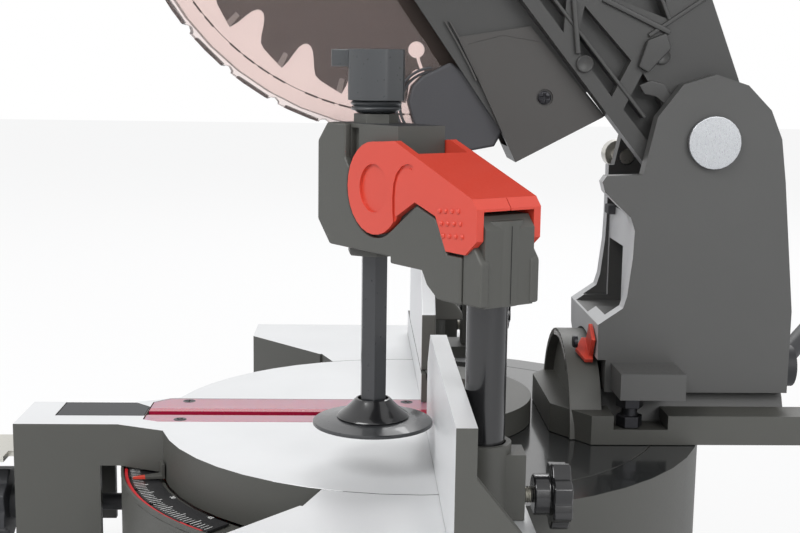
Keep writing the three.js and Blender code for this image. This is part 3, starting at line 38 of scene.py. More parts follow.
MM = 0.001
SHARP = 35  # degrees; an edge over this stays sharp
WELD = 0.002
FLAT = 0.7  # degrees; faces nearer than this to one plane are joined
TABLE_TOP = 85.0
ARBOR = Vector((0.0, -4.016, 377.358))
POST = Vector((155.0, 24.5, 0.0))
CLAMP_TURN = 213.6
BEVEL_CENTRE_Z = 85.0
BLADE_RADIUS = 127.0
TEETH = 24
SCALE_TOP = 61.62
BASE_SPLIT_Y = 44
TABLE_SPLIT_Y = 17
POINTER_RED_FROM = 140
INSERT_BANDS = (-9.5, -3.6)
KNOBS = (
    # body, x, z, start and end of its bare thread, face of its cap
    ("right_knob", 155, 94, 41.4, 45, 60),
    ("left_knob", -198, 94, 41.4, 45, 60),
    ("fence_knob", -150, 116, 46.6, 56, 71),
)
CAMERA_PLACE = (0.6516, -0.0288, 0.2655)
CAMERA_TURNS = (2.04, 8.76, 0.81)
CAMERA_LENS = 56.43

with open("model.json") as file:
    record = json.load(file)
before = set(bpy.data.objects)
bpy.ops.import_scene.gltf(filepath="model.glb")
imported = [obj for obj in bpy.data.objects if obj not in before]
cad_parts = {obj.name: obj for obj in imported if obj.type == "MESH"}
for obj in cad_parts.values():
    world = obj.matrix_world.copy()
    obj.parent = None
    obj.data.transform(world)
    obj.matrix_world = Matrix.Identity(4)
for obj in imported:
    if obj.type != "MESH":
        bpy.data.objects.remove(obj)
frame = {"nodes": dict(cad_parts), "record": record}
NODES = frame["nodes"]
BODY_OF = {
    node: body for body, nodes in frame["record"]["behaviour"]["bodies"].items() for node in nodes
}
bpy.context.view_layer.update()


def linear(code):
    """An sRGB hex colour as linear RGBA."""
    parts = [int(code[i : i + 2], 16) / 255 for i in (1, 3, 5)]
    return [c / 12.92 if c <= 0.04045 else ((c + 0.055) / 1.055) ** 2.4 for c in parts] + [1.0]


# Nodes
def wire(tree, node, inputs):
    """Gives a node's inputs their values, or links them to the outputs given in place of values."""
    for key, value in inputs.items():
        if isinstance(value, bpy.types.NodeSocket):
            tree.links.new(value, node.inputs[key])
        else:
            node.inputs[key].default_value = value


def add_node(tree, kind, inputs=(), **settings):
    """A new node with its settings, values and links."""
    node = tree.nodes.new(kind)
    for name, value in settings.items():
        setattr(node, name, value)
    wire(tree, node, dict(inputs))
    return node


# Materials
MATERIALS = {}
BROAD_SCALE = 22.0
GLOSS_SPREAD = 0.07


def surface(name, code, rough, metal=0.0, grain=0.6, depth=0.05, stretch=(1, 1, 1), vary=0.06, **sockets):
    """A procedural surface: grain is the size of its pattern and depth that of its bumps, in millimetres."""
    mat = bpy.data.materials.new(name)
    mat.use_nodes = True
    tree = mat.node_tree
    base = linear(code)[:3]
    spot = add_node(tree, "ShaderNodeTexCoord").outputs["Object"]
    sizes = [1 / (grain * MM * s) for s in stretch]
    grid = add_node(tree, "ShaderNodeMapping", {"Vector": spot, "Scale": sizes}).outputs["Vector"]
    fine = add_node(tree, "ShaderNodeTexNoise", {"Vector": grid, "Scale": 1.0, "Detail": 3.0})
    broad = add_node(tree, "ShaderNodeTexNoise", {"Vector": spot, "Scale": BROAD_SCALE, "Detail": 4.0})
    tone = add_node(tree, "ShaderNodeMix", {
        0: broad.outputs["Fac"],
        6: [c * (1 - vary) for c in base] + [1.0],
        7: [min(1.0, c * (1 + vary)) for c in base] + [1.0],
    }, data_type="RGBA")
    gloss = add_node(tree, "ShaderNodeMapRange", {
        "Value": fine.outputs["Fac"],
        "To Min": max(0.02, rough - GLOSS_SPREAD),
        "To Max": min(1.0, rough + GLOSS_SPREAD),
    })
    bump = add_node(tree, "ShaderNodeBump", {
        "Height": fine.outputs["Fac"], "Strength": 0.5, "Distance": depth * MM,
    })
    wire(tree, tree.nodes["Principled BSDF"], {
        "Base Color": tone.outputs[2],
        "Roughness": gloss.outputs["Result"],
        "Normal": bump.outputs["Normal"],
        "Metallic": metal,
        **{socket.replace("_", " "): value for socket, value in sockets.items()},
    })
    MATERIALS[name] = mat


def make_materials(look):
    """Every material, named for what it is and how it is worked; one is named for the highlight painted into
    it.
    """
    # Die-cast aluminium with a satin grey paint: fine orange peel in its highlights.
    surface("cast_grey_paint", look.cast_colour, 0.48, grain=0.9, depth=0.05, Specular_IOR_Level=0.5)
    # The head's castings, painted darker and a little glossier.
    surface("arm_dark_paint", look.arm_colour, 0.42, grain=0.9, depth=0.05, Specular_IOR_Level=0.45)
    # The column, painted warmer and lighter, set off from the arm.
    surface("column_grey_paint", look.column_colour, 0.46, grain=0.9, depth=0.05, Specular_IOR_Level=0.4)
    # Painted highlight on the column's front edges: pale lines on a dark casting, where the light falls on
    # them.
    surface("wiped_cast_aluminium", "#BEBFC0", 0.5, 0.3, grain=0.8, depth=0.03)
    # The deck behind the fence, lacquered: it mirrors the fence softly.
    surface("black_lacquered_deck", "#2F3030", 0.16, grain=3.0, depth=0.01, Coat_Weight=0.3)
    # The panel beside the chute, moulded with a fine grain: a calm dark tone.
    surface("matt_panel_plastic", "#3C3A38", 0.42, grain=0.8, depth=0.02)
    # The clamp's knob, moulded in grey nylon: each facet takes its own light.
    surface("faceted_knob_plastic", "#3E4042", 0.3, grain=1.5, depth=0.01, Coat_Weight=0.15)
    # The guard's dashes and lips, pressed with ink: brown-black marks in a clear wall.
    surface("guard_ink", "#4B3F3C", 0.4, grain=0.5, depth=0.002)
    # The kerf inserts' moulded edges: dark, glossy outlines of a milky top.
    surface("red_insert_edge", "#A5173A", 0.25, grain=1.5, depth=0.01, Coat_Weight=0.4)
    # The turntable's top, faced on a lathe and sanded: bright, with a grain along x.
    surface("table_faced_aluminium", look.table_colour, 0.36, 0.35, grain=0.35, depth=0.012,
            stretch=(12, 1, 1))
    # The fence's faces, milled along their length: bright bands with long fine lines.
    surface("fence_milled_aluminium", look.fence_colour, 0.4, 0.3, grain=0.3, depth=0.012, stretch=(20, 1, 1))
    # Covers and handles, moulded with a leather-like grain: dull highlights.
    surface("moulded_dark_plastic", look.plastic_colour, 0.55, grain=0.5, depth=0.03)
    # Star knobs, clamp post and cone, moulded smooth: deep black, sharp highlights.
    surface("polished_black_plastic", "#141416", 0.22, grain=2.0, depth=0.004, Coat_Weight=0.4)
    # The clamp's rod and pad, blacked and oiled: a smooth satin sheen.
    surface("black_coated_steel", "#343537", 0.3, 0.2, grain=3.0, depth=0.004, Coat_Weight=0.3)
    # Scoop, feet and stop block, moulded in rubber: a dusty grey without highlights.
    surface("moulded_rubber", look.rubber_colour, 0.72, grain=0.7, depth=0.04)
    # Lever, pointer and trigger, moulded in red: the saw's only warm, lively colour.
    surface("moulded_red_plastic", look.red_colour, 0.36, grain=1.2, depth=0.02, Coat_Weight=0.15)
    # Shafts, flanges and bearings, ground round their axis: bright and finely lined.
    surface("ground_steel", "#B9BBBE", 0.28, 0.9, grain=0.25, depth=0.008, stretch=(1, 1, 8))
    # Pressed and turned small parts, zinc plated: a slightly yellow, broken brightness.
    surface("zinc_plated_steel", "#C8C6BE", 0.3, 0.9, grain=0.8, depth=0.01)
    # Screws and the stop bolt, blued: dark metal that still catches an edge light.
    surface("blued_steel", "#2B2B2E", 0.35, 0.7, grain=0.5, depth=0.01)
    # The blade's plate, ground and tinted by its coating: a dark brown metal.
    surface("blade_ground_plate", look.blade_colour, 0.42, 0.75, grain=0.25, depth=0.012, stretch=(1, 5, 5))
    # The teeth's tips, sintered and ground: small, paler sparks round the blade.
    surface("sintered_carbide", "#8B8A88", 0.3, 0.8, grain=0.3, depth=0.01)
    # Windings of lacquered copper wire: warm, with deep furrows.
    surface("wound_copper", "#A8603A", 0.4, 0.8, grain=0.7, depth=0.1, stretch=(1, 8, 8))
    # Slots and seams of unpainted casting, deep in the dark: nearly black.
    surface("dark_recess", "#0C0C0D", 0.9, grain=1.0, depth=0.01)
    # The mitre scale's band, printed: a thin, even red line.
    surface("red_printed_band", "#C4222A", 0.4, grain=0.5, depth=0.002)
    # The mitre scale's plate, anodised dark: a satin ground for its white marks.
    surface("dark_scale_face", "#2E2E30", 0.3, 0.3, grain=0.5, depth=0.003)
    # Ticks and figures, printed: flat white.
    surface("white_scale_ink", "#E4E4E2", 0.5, grain=0.5, depth=0.002)
    # The lower guard's walls, moulded clear with a warm tint: the blade shows through.
    surface("tinted_polycarbonate", look.guard_colour, 0.12, grain=5.0, depth=0.01, vary=0.02,
            Transmission_Weight=0.96, IOR=1.3)
    # The guard's thick rim, seen edge on, is darker and duller than its walls.
    surface("polycarbonate_edge", "#4A4B4A", 0.3, grain=1.0, depth=0.02, Transmission_Weight=0.15, IOR=1.3)
    # The kerf inserts, moulded in a milky red that glows where light passes through it.
    surface("translucent_red_insert", look.insert_colour, 0.32, grain=1.0, depth=0.02,
            Transmission_Weight=0.25, Subsurface_Weight=0.4)


# Meshes
def new_object(name, mesh):
    """A new object in the scene."""
    obj = bpy.data.objects.new(name, mesh)
    bpy.context.scene.collection.objects.link(obj)
    return obj


def dress(obj, *names):
    """Gives an object its materials, in order."""
    obj.data.materials.clear()
    for name in names:
        obj.data.materials.append(MATERIALS[name])
    return obj


def smooth(obj, angle=SHARP):
    """Shades an object smoothly up to an angle, and keeps its broad faces flat."""
    obj.data.shade_smooth()
    obj.data.set_sharp_from_angle(angle=math.radians(angle))
    flats = obj.modifiers.new("flats", "WEIGHTED_NORMAL")
    flats.keep_sharp = True
    flats.weight = 80
    return settle(obj)


def settle(obj):
    """Applies an object's modifiers, so that it becomes a plain mesh."""
    graph = bpy.context.evaluated_depsgraph_get()
    mesh = bpy.data.meshes.new_from_object(obj.evaluated_get(graph))
    obj.modifiers.clear()
    obj.data = mesh
    return obj


def bevelled(obj, width, segments=2, angle=30, chosen=False):
    """obj with its edges rounded: those of the weights, when chosen, or those over an angle."""
    rounding = obj.modifiers.new("rounding", "BEVEL")
    rounding.width = width * MM
    rounding.segments = segments
    rounding.limit_method = "WEIGHT" if chosen else "ANGLE"
    rounding.angle_limit = math.radians(angle)
    return settle(obj)


def finish_piece(obj, body, nodes=()):
    """Hands a piece to its body and the CAD nodes that it stands for."""
    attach(obj, body)
    if nodes:
        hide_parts(*nodes)
    return obj


def soften(node, *names, width, slot, segments=2, angle=30, tone=None, cuts=(), splits=(), only=None):
    """A copy of a CAD node with its edges rounded. tone picks a face's material from its normal and middle.

    cuts are shapes to take out of it, splits are planes (point, normal) that divide its faces, and only
    picks the edges to round from their middle.
    """
    source = NODES[node]
    mesh = source.data.copy()
    mesh.transform(source.matrix_world)
    work = bmesh.new()
    work.from_mesh(mesh)
    bmesh.ops.remove_doubles(work, verts=work.verts, dist=WELD * MM)
    bmesh.ops.dissolve_limit(work, angle_limit=math.radians(FLAT), verts=work.verts, edges=work.edges)
    for point, normal in splits:
        everything = [*work.verts, *work.edges, *work.faces]
        bmesh.ops.bisect_plane(work, geom=everything, plane_co=Vector(point) * MM, plane_no=normal)
    work.to_mesh(mesh)
    work.free()
    obj = new_object(node + "_surface", mesh)
    dress(obj, *names)
    carved(obj, *cuts)
    for polygon in obj.data.polygons:
        polygon.material_index = 0
        if tone:
            polygon.material_index = tone(polygon.normal, polygon.center / MM)
    if only:
        weights = obj.data.attributes.new("bevel_weight_edge", "FLOAT", "EDGE")
        corners = obj.data.vertices
        for edge in obj.data.edges:
            middle = (corners[edge.vertices[0]].co + corners[edge.vertices[1]].co) / 2 / MM
            weights.data[edge.index].value = 1.0 if only(middle) else 0.0
    if width:
        bevelled(obj, width, segments, angle, chosen=bool(only))
    smooth(obj)
    return finish_piece(obj, BODY_OF[node], [node])


def from_bmesh(name, work, *names):
    mesh = bpy.data.meshes.new(name)
    work.normal_update()
    work.to_mesh(mesh)
    work.free()
    return dress(new_object(name, mesh), *names)


def box(name, low, high, *names, width=0.0, turn=None):
    """A box between two corners, turned by a matrix when one is given."""
    work = bmesh.new()
    size = [b - a for a, b in zip(low, high)]
    middle = Vector([(a + b) / 2 for a, b in zip(low, high)])
    place = (turn or Matrix()) @ Matrix.Translation(middle)
    bmesh.ops.create_cube(work, size=1.0, matrix=place @ Matrix.Diagonal([*size, 1.0]))
    bmesh.ops.scale(work, vec=(MM, MM, MM), verts=work.verts)
    obj = from_bmesh(name, work, *names)
    if width:
        bevelled(obj, width)
    return smooth(obj)


def lathe(name, profile, place, material, sides):
    """A profile of (radius, height) points turned about the local z axis of a matrix."""
    work = bmesh.new()
    rings = []
    for radius, height in profile:
        if radius <= 0:
            rings.append([work.verts.new((0, 0, height))])
            continue
        rings.append([
            work.verts.new((radius * math.cos(turn), radius * math.sin(turn), height))
            for turn in (2 * math.pi * i / sides for i in range(sides))
        ])
    for lower, upper in zip(rings, rings[1:]):
        for i in range(sides):
            k = (i + 1) % sides
            if len(lower) == 1 and len(upper) > 1:
                work.faces.new((lower[0], upper[k], upper[i]))
            elif len(upper) == 1 and len(lower) > 1:
                work.faces.new((lower[i], lower[k], upper[0]))
            elif len(lower) > 1:
                work.faces.new((lower[i], lower[k], upper[k], upper[i]))
    bmesh.ops.transform(work, matrix=Matrix.Scale(MM, 4) @ place, verts=work.verts)
    bmesh.ops.recalc_face_normals(work, faces=work.faces)
    return smooth(from_bmesh(name, work, material), 30)


def plate(name, outline, low, high, place, *names, width=0.0):
    """A flat outline, thickened from low to high along the local z axis of a matrix."""
    work = bmesh.new()
    base = work.faces.new([work.verts.new((x, y, low)) for x, y in outline])
    grown = bmesh.ops.extrude_face_region(work, geom=[base])
    moved = [v for v in grown["geom"] if isinstance(v, bmesh.types.BMVert)]
    bmesh.ops.translate(work, vec=(0, 0, high - low), verts=moved)
    bmesh.ops.transform(work, matrix=Matrix.Scale(MM, 4) @ place, verts=work.verts)
    bmesh.ops.recalc_face_normals(work, faces=work.faces)
    obj = from_bmesh(name, work, *names)
    if width:
        bevelled(obj, width)
    return smooth(obj)


def stood(axis, place=(0, 0, 0)):
    """A matrix that stands the local z axis along a row axis.

    An outline is given as [y, z] on x, [x, z] on -y and [x, y] on z.
    """
    columns = {
        "x": ((0, 1, 0), (0, 0, 1), (1, 0, 0)),
        "y": ((0, 0, 1), (1, 0, 0), (0, 1, 0)),
        "-y": ((1, 0, 0), (0, 0, 1), (0, -1, 0)),
        "z": ((1, 0, 0), (0, 1, 0), (0, 0, 1)),
    }[axis]
    return Matrix.Translation(place) @ Matrix(columns).transposed().to_4x4()


def in_clamp(turn=Matrix()):
    """A matrix from the clamp's own frame to the saw's."""
    return Matrix.Translation(POST) @ Matrix.Rotation(math.radians(CLAMP_TURN), 4, "Z") @ turn


# Repeats, by Geometry Nodes
def repeat(name, template, places, body):
    """One mesh at many places. A place is (position, turn in degrees, size); the result is a plain mesh."""
    mesh = bpy.data.meshes.new(name)
    mesh.from_pydata([Vector(p) * MM for p, _, _ in places], [], [])
    mesh.attributes.new("turn", "FLOAT_VECTOR", "POINT")
    mesh.attributes.new("size", "FLOAT", "POINT")
    for i, (_, turn, size) in enumerate(places):
        mesh.attributes["turn"].data[i].vector = [math.radians(d) for d in turn]
        mesh.attributes["size"].data[i].value = size
    obj = new_object(name, mesh)
    tree = bpy.data.node_groups.new(name, "GeometryNodeTree")
    tree.interface.new_socket("Geometry", in_out="INPUT", socket_type="NodeSocketGeometry")
    piece = tree.interface.new_socket("Piece", in_out="INPUT", socket_type="NodeSocketObject")
    tree.interface.new_socket("Geometry", in_out="OUTPUT", socket_type="NodeSocketGeometry")
    start = add_node(tree, "NodeGroupInput")
    info = add_node(tree, "GeometryNodeObjectInfo", {"Object": start.outputs["Piece"]})
    turned = add_node(tree, "GeometryNodeInputNamedAttribute", {"Name": "turn"}, data_type="FLOAT_VECTOR")
    sized = add_node(tree, "GeometryNodeInputNamedAttribute", {"Name": "size"}, data_type="FLOAT")
    spread = add_node(tree, "GeometryNodeInstanceOnPoints", {
        "Points": start.outputs["Geometry"],
        "Instance": info.outputs["Geometry"],
        "Rotation": turned.outputs["Attribute"],
        "Scale": sized.outputs["Attribute"],
    })
    realized = add_node(tree, "GeometryNodeRealizeInstances", {"Geometry": spread.outputs["Instances"]})
    add_node(tree, "NodeGroupOutput", {"Geometry": realized.outputs["Geometry"]})
    spreader = obj.modifiers.new("repeats", "NODES")
    spreader.node_group = tree
    spreader[piece.identifier] = template
    settle(obj)
    obj.data.set_sharp_from_angle(angle=math.radians(SHARP))
    return finish_piece(obj, body)


def facing(along, out):
    """The turn, in degrees, that lays a piece's x along one direction and its y along another."""
    turned = Matrix((along, out, along.cross(out))).transposed().to_euler()
    return tuple(math.degrees(part) for part in turned)


def template_of(obj):
    """Takes a piece out of the scene, to be used in repeats only."""
    bpy.context.scene.collection.objects.unlink(obj)
    return obj


def carved(obj, *tools):
    """obj with the tools' shapes taken out of it."""
    for tool in tools:
        cutting = obj.modifiers.new("carving", "BOOLEAN")
        cutting.operation = "DIFFERENCE"
        cutting.solver = "EXACT"
        cutting.object = tool
        settle(obj)
        bpy.data.objects.remove(tool)
    return obj


def cross_cut(reach, half, low, high):
    """The two arms of a cross recess, as shapes to take out of a screw's head."""
    return [
        box("cross_arm", (-reach, -half, low), (reach, half, high), "blued_steel",
            turn=Matrix.Rotation(quarter * math.pi / 2, 4, "Z"))
        for quarter in range(2)
    ]


def merged(name, *parts):
    """Several plain meshes as one object of that name."""
    first, *others = parts
    work = bmesh.new()
    work.from_mesh(first.data)
    for other in others:
        work.from_mesh(other.data)
        bpy.data.objects.remove(other)
    work.to_mesh(first.data)
    work.free()
    first.name = name
    return first


def text(name, words, size, place, material, body):
    """Printed figures, as a thin mesh, centred on a matrix."""
    curve = bpy.data.curves.new(name, "FONT")
    curve.body = words
    curve.size = size * MM
    curve.extrude = FIGURE_DEPTH * MM / 2
    curve.align_x = "CENTER"
    curve.align_y = "CENTER"
    curve.resolution_u = 2
    obj = new_object(name, curve)
    graph = bpy.context.evaluated_depsgraph_get()
    mesh = bpy.data.meshes.new_from_object(obj.evaluated_get(graph))
    bpy.data.objects.remove(obj)
    moved = place.copy()
    moved.translation = moved.translation * MM
    mesh.transform(moved)
    return finish_piece(dress(new_object(name, mesh), material), body)


# Details of single pieces
SCALE_SPAN = 49  # degrees each way
TICK_RADIUS = 146
FIGURE_RADIUS = 134.2
SCALE_SHELF = 60.25
THREAD_STEP = 1.1
FIGURE_DEPTH = 0.08


def round_about(radius, turn, z):
    """A point at a turn in degrees round the pivot, zero being the front of the saw."""
    angle = math.radians(turn - 90)
    return (radius * math.cos(angle), radius * math.sin(angle), z)


def arc_plate(name, inner, outer, span, low, high, *names, steps=72):
    """A flat arc round the pivot, between two radii and two turns."""
    start, end = span
    turns = [start + (end - start) * i / steps for i in range(steps + 1)]
    far = [round_about(outer, t, 0)[:2] for t in turns]
    near = [round_about(inner, t, 0)[:2] for t in reversed(turns)]
    return plate(name, far + near, low, high, stood("z"), *names)


def scale_marks():
    """Ticks, figures, red band and rim of the mitre scale."""
    tick = template_of(box("tick", (-0.22, -look().tick, 0), (0.22, 0, 0.05), "white_scale_ink"))
    places = [
        (round_about(TICK_RADIUS, degree, SCALE_TOP), (0, 0, degree + 180), 1.0 if degree % 5 == 0 else 0.75)
        for degree in range(-SCALE_SPAN, SCALE_SPAN + 1)
    ]
    repeat("mitre_scale_ticks", tick, places, "base")
    for degree in range(-45, 46, 15):
        spot = Matrix.Translation(round_about(FIGURE_RADIUS, degree, SCALE_TOP + 0.03))
        place = spot @ Matrix.Rotation(math.radians(degree), 4, "Z")
        text("mitre_scale_figure_%d" % (degree + 45), str(abs(degree)), 3.4, place, "white_scale_ink", "base")
    band = arc_plate("band", 147.4, 149.0, (-SCALE_SPAN, SCALE_SPAN), SCALE_SHELF, 61.4, "red_printed_band")
    ends = [
        arc_plate("band_end", 147.2, 149.4, (side * 43, side * SCALE_SPAN), SCALE_SHELF, 61.7,
                  "red_printed_band", steps=8)
        for side in (-1, 1)
    ]
    finish_piece(smooth(merged("mitre_scale_band", band, *ends)), "base")
    rim = arc_plate("mitre_scale_rim", 149.5, 150.9, (-70, 70), 60.1, 62.6, "cast_grey_paint")
    finish_piece(bevelled(rim, 0.3), "base")


def insert_screws():
    """Countersunk screws of the kerf inserts."""
    profile = [(0, -1.5), (2.0, -1.5), (3.4, -0.1), (3.4, 0.06), (0, 0.06)]
    head = lathe("insert_screw", profile, Matrix(), "blued_steel", sides=24)
    screw = template_of(smooth(carved(head, *cross_cut(2.1, 0.45, -0.9, 1))))
    spots = [(x, y, TABLE_TOP) for x in (-25, 12) for y in (-120, 0, 26)]
    places = [(spot, (0, 0, 20 * i), 1.0) for i, spot in enumerate(spots)]
    repeat("kerf_insert_screws", screw, places, "table")


def fence_studs():
    """Bare threads and end caps of the three star knobs."""
    profile = [(3.1, -0.5), (3.6, 0), (3.1, 0.5), (2.6, 0)]
    ring = template_of(lathe("thread_turn", profile, stood("y"), "zinc_plated_steel", sides=20))
    for body, x, z, start, end, _ in KNOBS:
        count = int((end - start) / THREAD_STEP)
        places = [((x, start + 0.5 + i * THREAD_STEP, z), (0, 0, 0), 1.0) for i in range(count)]
        repeat(body + "_thread", ring, places, body)
    profile = [(0, -0.6), (6.4, -0.6), (6.4, 0.25), (5.2, 0.55), (4.6, 0.3), (0, 0.3)]
    for body, x, z, _, _, face in KNOBS:
        cap = lathe(body + "_cap", profile, stood("y", (x, face, z)), "polished_black_plastic", sides=32)
        finish_piece(cap, body)


# Clamp, in its own frame: x runs from the post to the rod and z is up.
CLAMP_SIDE = Matrix(((1, 0, 0, 0), (0, 0, 1, 0), (0, 1, 0, 0), (0, 0, 0, 1)))
CLAMP_ROD = Matrix.Translation((81, 0, 0))
DISC = (58.8, 216.6)
CHEEK = [
    (97, 243.4), (104.7, 235), (104.7, 199), (94.6, 188.4), (46.5, 188.4), (46.5, 185.6), (24, 185.6),
    (20.5, 180.1), (13, 175.1), (-2, 175.1), (-2, 194.2), (7.6, 194.2), (15.4, 207.8), (28.4, 211.9),
]
SLEEVE = [(-13.6, 175.4), (-13.6, 193), (-9, 199), (-2.2, 199), (-2.2, 175.4)]
CURL = [
    (42.6, 202.2), (43.4, 208), (43.6, 214), (43.0, 219.5), (41.2, 223.6), (37.8, 226.6), (33.4, 227.8),
    (30.4, 227.2),
]
BUSH = [(6.9, 184.4), (12.6, 184.4), (13.4, 185.2), (13.4, 188.6), (6.9, 188.6), (6.9, 184.4)]
HUB = [
    (0, 247.9), (8.5, 247.9), (9.2, 248.6), (11, 249.3), (11.4, 250), (11, 250.7), (10, 251), (11, 251.4),
    (11.5, 252.2), (11, 253), (10, 253.5), (0, 253.5),
]
PAD_DISC = [
    (0, 105), (27.2, 105), (27.8, 105.3), (27.8, 106.2), (27.2, 106.7), (21, 107.6), (17, 108.4),
    (0, 108.4),
]
PAD_CONE = [
    (0, 108.2), (16.2, 108.2), (16.8, 108.9), (16.4, 109.6), (14.6, 110.9), (12, 112.9), (9.8, 115),
    (8.6, 116.4), (8, 117), (7.2, 117.2), (6.9, 116.6), (6.9, 112.8), (0, 112.8),
]


def disc_arc(radius, start, end, steps=20):
    """Points of an arc round the middle of the lever's disc."""
    turns = [math.radians(start + (end - start) * i / steps) for i in range(steps + 1)]
    return [(DISC[0] + radius * math.cos(t), DISC[1] + radius * math.sin(t)) for t in turns]


def clamp_pair(name, outline, near, far, material, width=0.0):
    """The same plate on each side of the clamp's middle."""
    pair = []
    for side in (-1, 1):
        low, high = sorted((side * near, side * far))
        pair.append(plate(name, outline, low, high, in_clamp(CLAMP_SIDE), material, width=width))
    return pair


def clamp_arm_body():
    """The clamp's moulded body: a core, cheeks that wrap the lever, and a bush round the rod."""
    slot = box("rod_slot", (76.2, 9.5, 226), (82.2, 20, 241.6), "dark_recess", turn=in_clamp())
    # Faces on top, above 225 mm, take the dark plastic: a painted dark reflection that makes the clamp's top
    # darker than its sides.
    soften("clamp_body", "cast_grey_paint", "polished_black_plastic", "moulded_dark_plastic",
           width=1.1, slot="cast_grey", cuts=[slot], tone=lambda n, c: 2 if n.z > 0.55 and c.z > 225 else 0)
    outline = CHEEK + disc_arc(21.3, 242, 380) + [(82.3, 228.5), (82.3, 243.4)]
    cheeks = clamp_pair("clamp_cheeks", outline, 12.3, 15.9, "cast_grey_paint", width=0.9)
    finish_piece(smooth(merged("clamp_cheeks", *cheeks)), "clamp_arm")
    wraps = clamp_pair("clamp_sleeve_wraps", SLEEVE, 10.5, 15.2, "cast_grey_paint", width=1.0)
    finish_piece(smooth(merged("clamp_sleeve_wraps", *wraps)), "clamp_arm")
    place = in_clamp(CLAMP_ROD @ Matrix.Rotation(math.pi / 6, 4, "Z"))
    bush = lathe("clamp_rod_bush", BUSH, place, "cast_grey_paint", sides=6)
    finish_piece(smooth(bush, 25), "clamp_arm")
    seam = box("clamp_body_seam", (-13.98, -0.15, 176), (-13.9, 0.15, 207), "dark_recess", turn=in_clamp())
    finish_piece(seam, "clamp_arm")


def stroke(points, width):
    """An outline of a given width along a line of points."""
    sides = ([], [])
    for i, point in enumerate(points):
        before = Vector(points[max(i - 1, 0)])
        after = Vector(points[min(i + 1, len(points) - 1)])
        along = (after - before).normalized() * (width / 2)
        sides[0].append((point[0] - along.y, point[1] + along.x))
        sides[1].append((point[0] + along.y, point[1] - along.x))
    return sides[0] + sides[1][::-1]


def clamp_lever_piece():
    """The red lever, with a swirl groove, a split lip and grip dots."""
    red = "moulded_red_plastic"
    cuts = clamp_pair("curl_cut", stroke(CURL, 1.9), 15.5, 18, red)
    for low, high in (((-13, -0.9, 212), (-8.8, -0.5, 219)), ((-13, -0.9, 212), (-11.2, 1.4, 213))):
        cuts.append(box("lip_cut", low, high, red, turn=in_clamp()))
    soften("clamp_lever", red, width=0.8, segments=3, slot="red", cuts=cuts)
    profile = [(0, -0.3), (1.1, -0.3), (1.0, 0.35), (0.6, 0.7), (0, 0.8)]
    dot = template_of(lathe("grip_dot", profile, Matrix(), red, sides=12))
    places = []
    for side in (-1, 1):
        for row in range(3):
            for column in range(4):
                spot = Vector((11.6 - 4 * column - 1.3 * row, side * 16.4, 211.4 - 4.9 * row + 0.3 * column))
                places.append((in_clamp() @ spot, (-90 * side, 0, CLAMP_TURN), 1.0))
    repeat("clamp_lever_dots", dot, places, "clamp_grip")


def clamp_knob_piece():
    """The faceted knob on its screw, with two rings below and a wing on its top."""
    rod = in_clamp(CLAMP_ROD)
    plastic = "faceted_knob_plastic"
    turns = [math.radians(45 * i + 9 + offset) for i in range(8) for offset in (-17.5, 17.5)]
    corners = [(13.1 * math.cos(turn), 13.1 * math.sin(turn)) for turn in turns]
    body = plate("clamp_knob_surface", corners, 253.4, 275.9, rod, plastic, width=0.5)
    outline = [(0, -4), (19.5, -4), (20.5, -3), (20.5, 3), (19.5, 4), (0, 4)]
    wing_turn = rod @ Matrix.Rotation(math.radians(38), 4, "Z")
    wing = plate("wing", outline, 268.2, 275.8, wing_turn, plastic, width=0.5)
    hub = lathe("hub", HUB, rod, plastic, sides=40)
    screw = [(0, 165), (2.6, 165)]
    for i in range(41):
        screw += [(3.1, 166 + 2 * i), (3.7, 167 + 2 * i)]
    thread = lathe("thread", screw + [(3.1, 248), (0, 248)], rod, plastic, sides=20)
    whole = merged("clamp_knob_surface", body, wing, hub, thread)
    finish_piece(smooth(whole, 25), "clamp_turner", ["clamp_knob"])


def clamp_pad_piece():
    """The pad: a satin disc with a polished cone on it."""
    rod = in_clamp(CLAMP_ROD)
    disc = lathe("clamp_pad_surface", PAD_DISC, rod, "black_coated_steel", sides=72)
    finish_piece(disc, "clamp_foot", ["clamp_pad"])
    cone = lathe("clamp_pad_cone", PAD_CONE, rod, "polished_black_plastic", sides=56)
    finish_piece(cone, "clamp_foot")


def column_tone(normal, middle):
    """Front edges of the column take a painted highlight, pale where the light falls on them."""
    return 1 if normal.y < -0.55 and 124 < middle.z < 225 and middle.y < 113 else 0


def round_about_bevel(radius, turn, y):
    """A point round the bevel axis, turn degrees to the right of straight up."""
    angle = math.radians(turn)
    return (radius * math.sin(angle), y, BEVEL_CENTRE_Z + radius * math.cos(angle))


BEVEL_ZERO = 32  # the turn of the bevel pointer, in degrees to the right of straight up


def column_details():
    """Stop block, screw of the pointer and ticks of the bevel scale."""
    stop = box("column_stop_block", (-25.5, 106.6, 192), (-15.5, 111.5, 197), "moulded_rubber", width=0.6)
    finish_piece(stop, "column")
    profile = [(0, 0), (3.2, 0), (3.2, 1.6), (2.6, 2.3), (0, 2.4)]
    place = stood("-y", round_about_bevel(55, BEVEL_ZERO, 84.2))
    screw = lathe("bevel_pointer_screw", profile, place, "blued_steel", sides=24)
    finish_piece(screw, "column")
    tick = template_of(box("bevel_tick", (-0.2, 0, 0), (0.2, 3.4, 0.05), "white_scale_ink"))
    places = [
        (round_about_bevel(43.2, turn, 79.0), (90, turn, 0), 1.0 if (BEVEL_ZERO - turn) % 5 == 0 else 0.65)
        for turn in range(BEVEL_ZERO + 2, BEVEL_ZERO - 49, -1)
    ]
    repeat("bevel_scale_ticks", tick, places, "table")


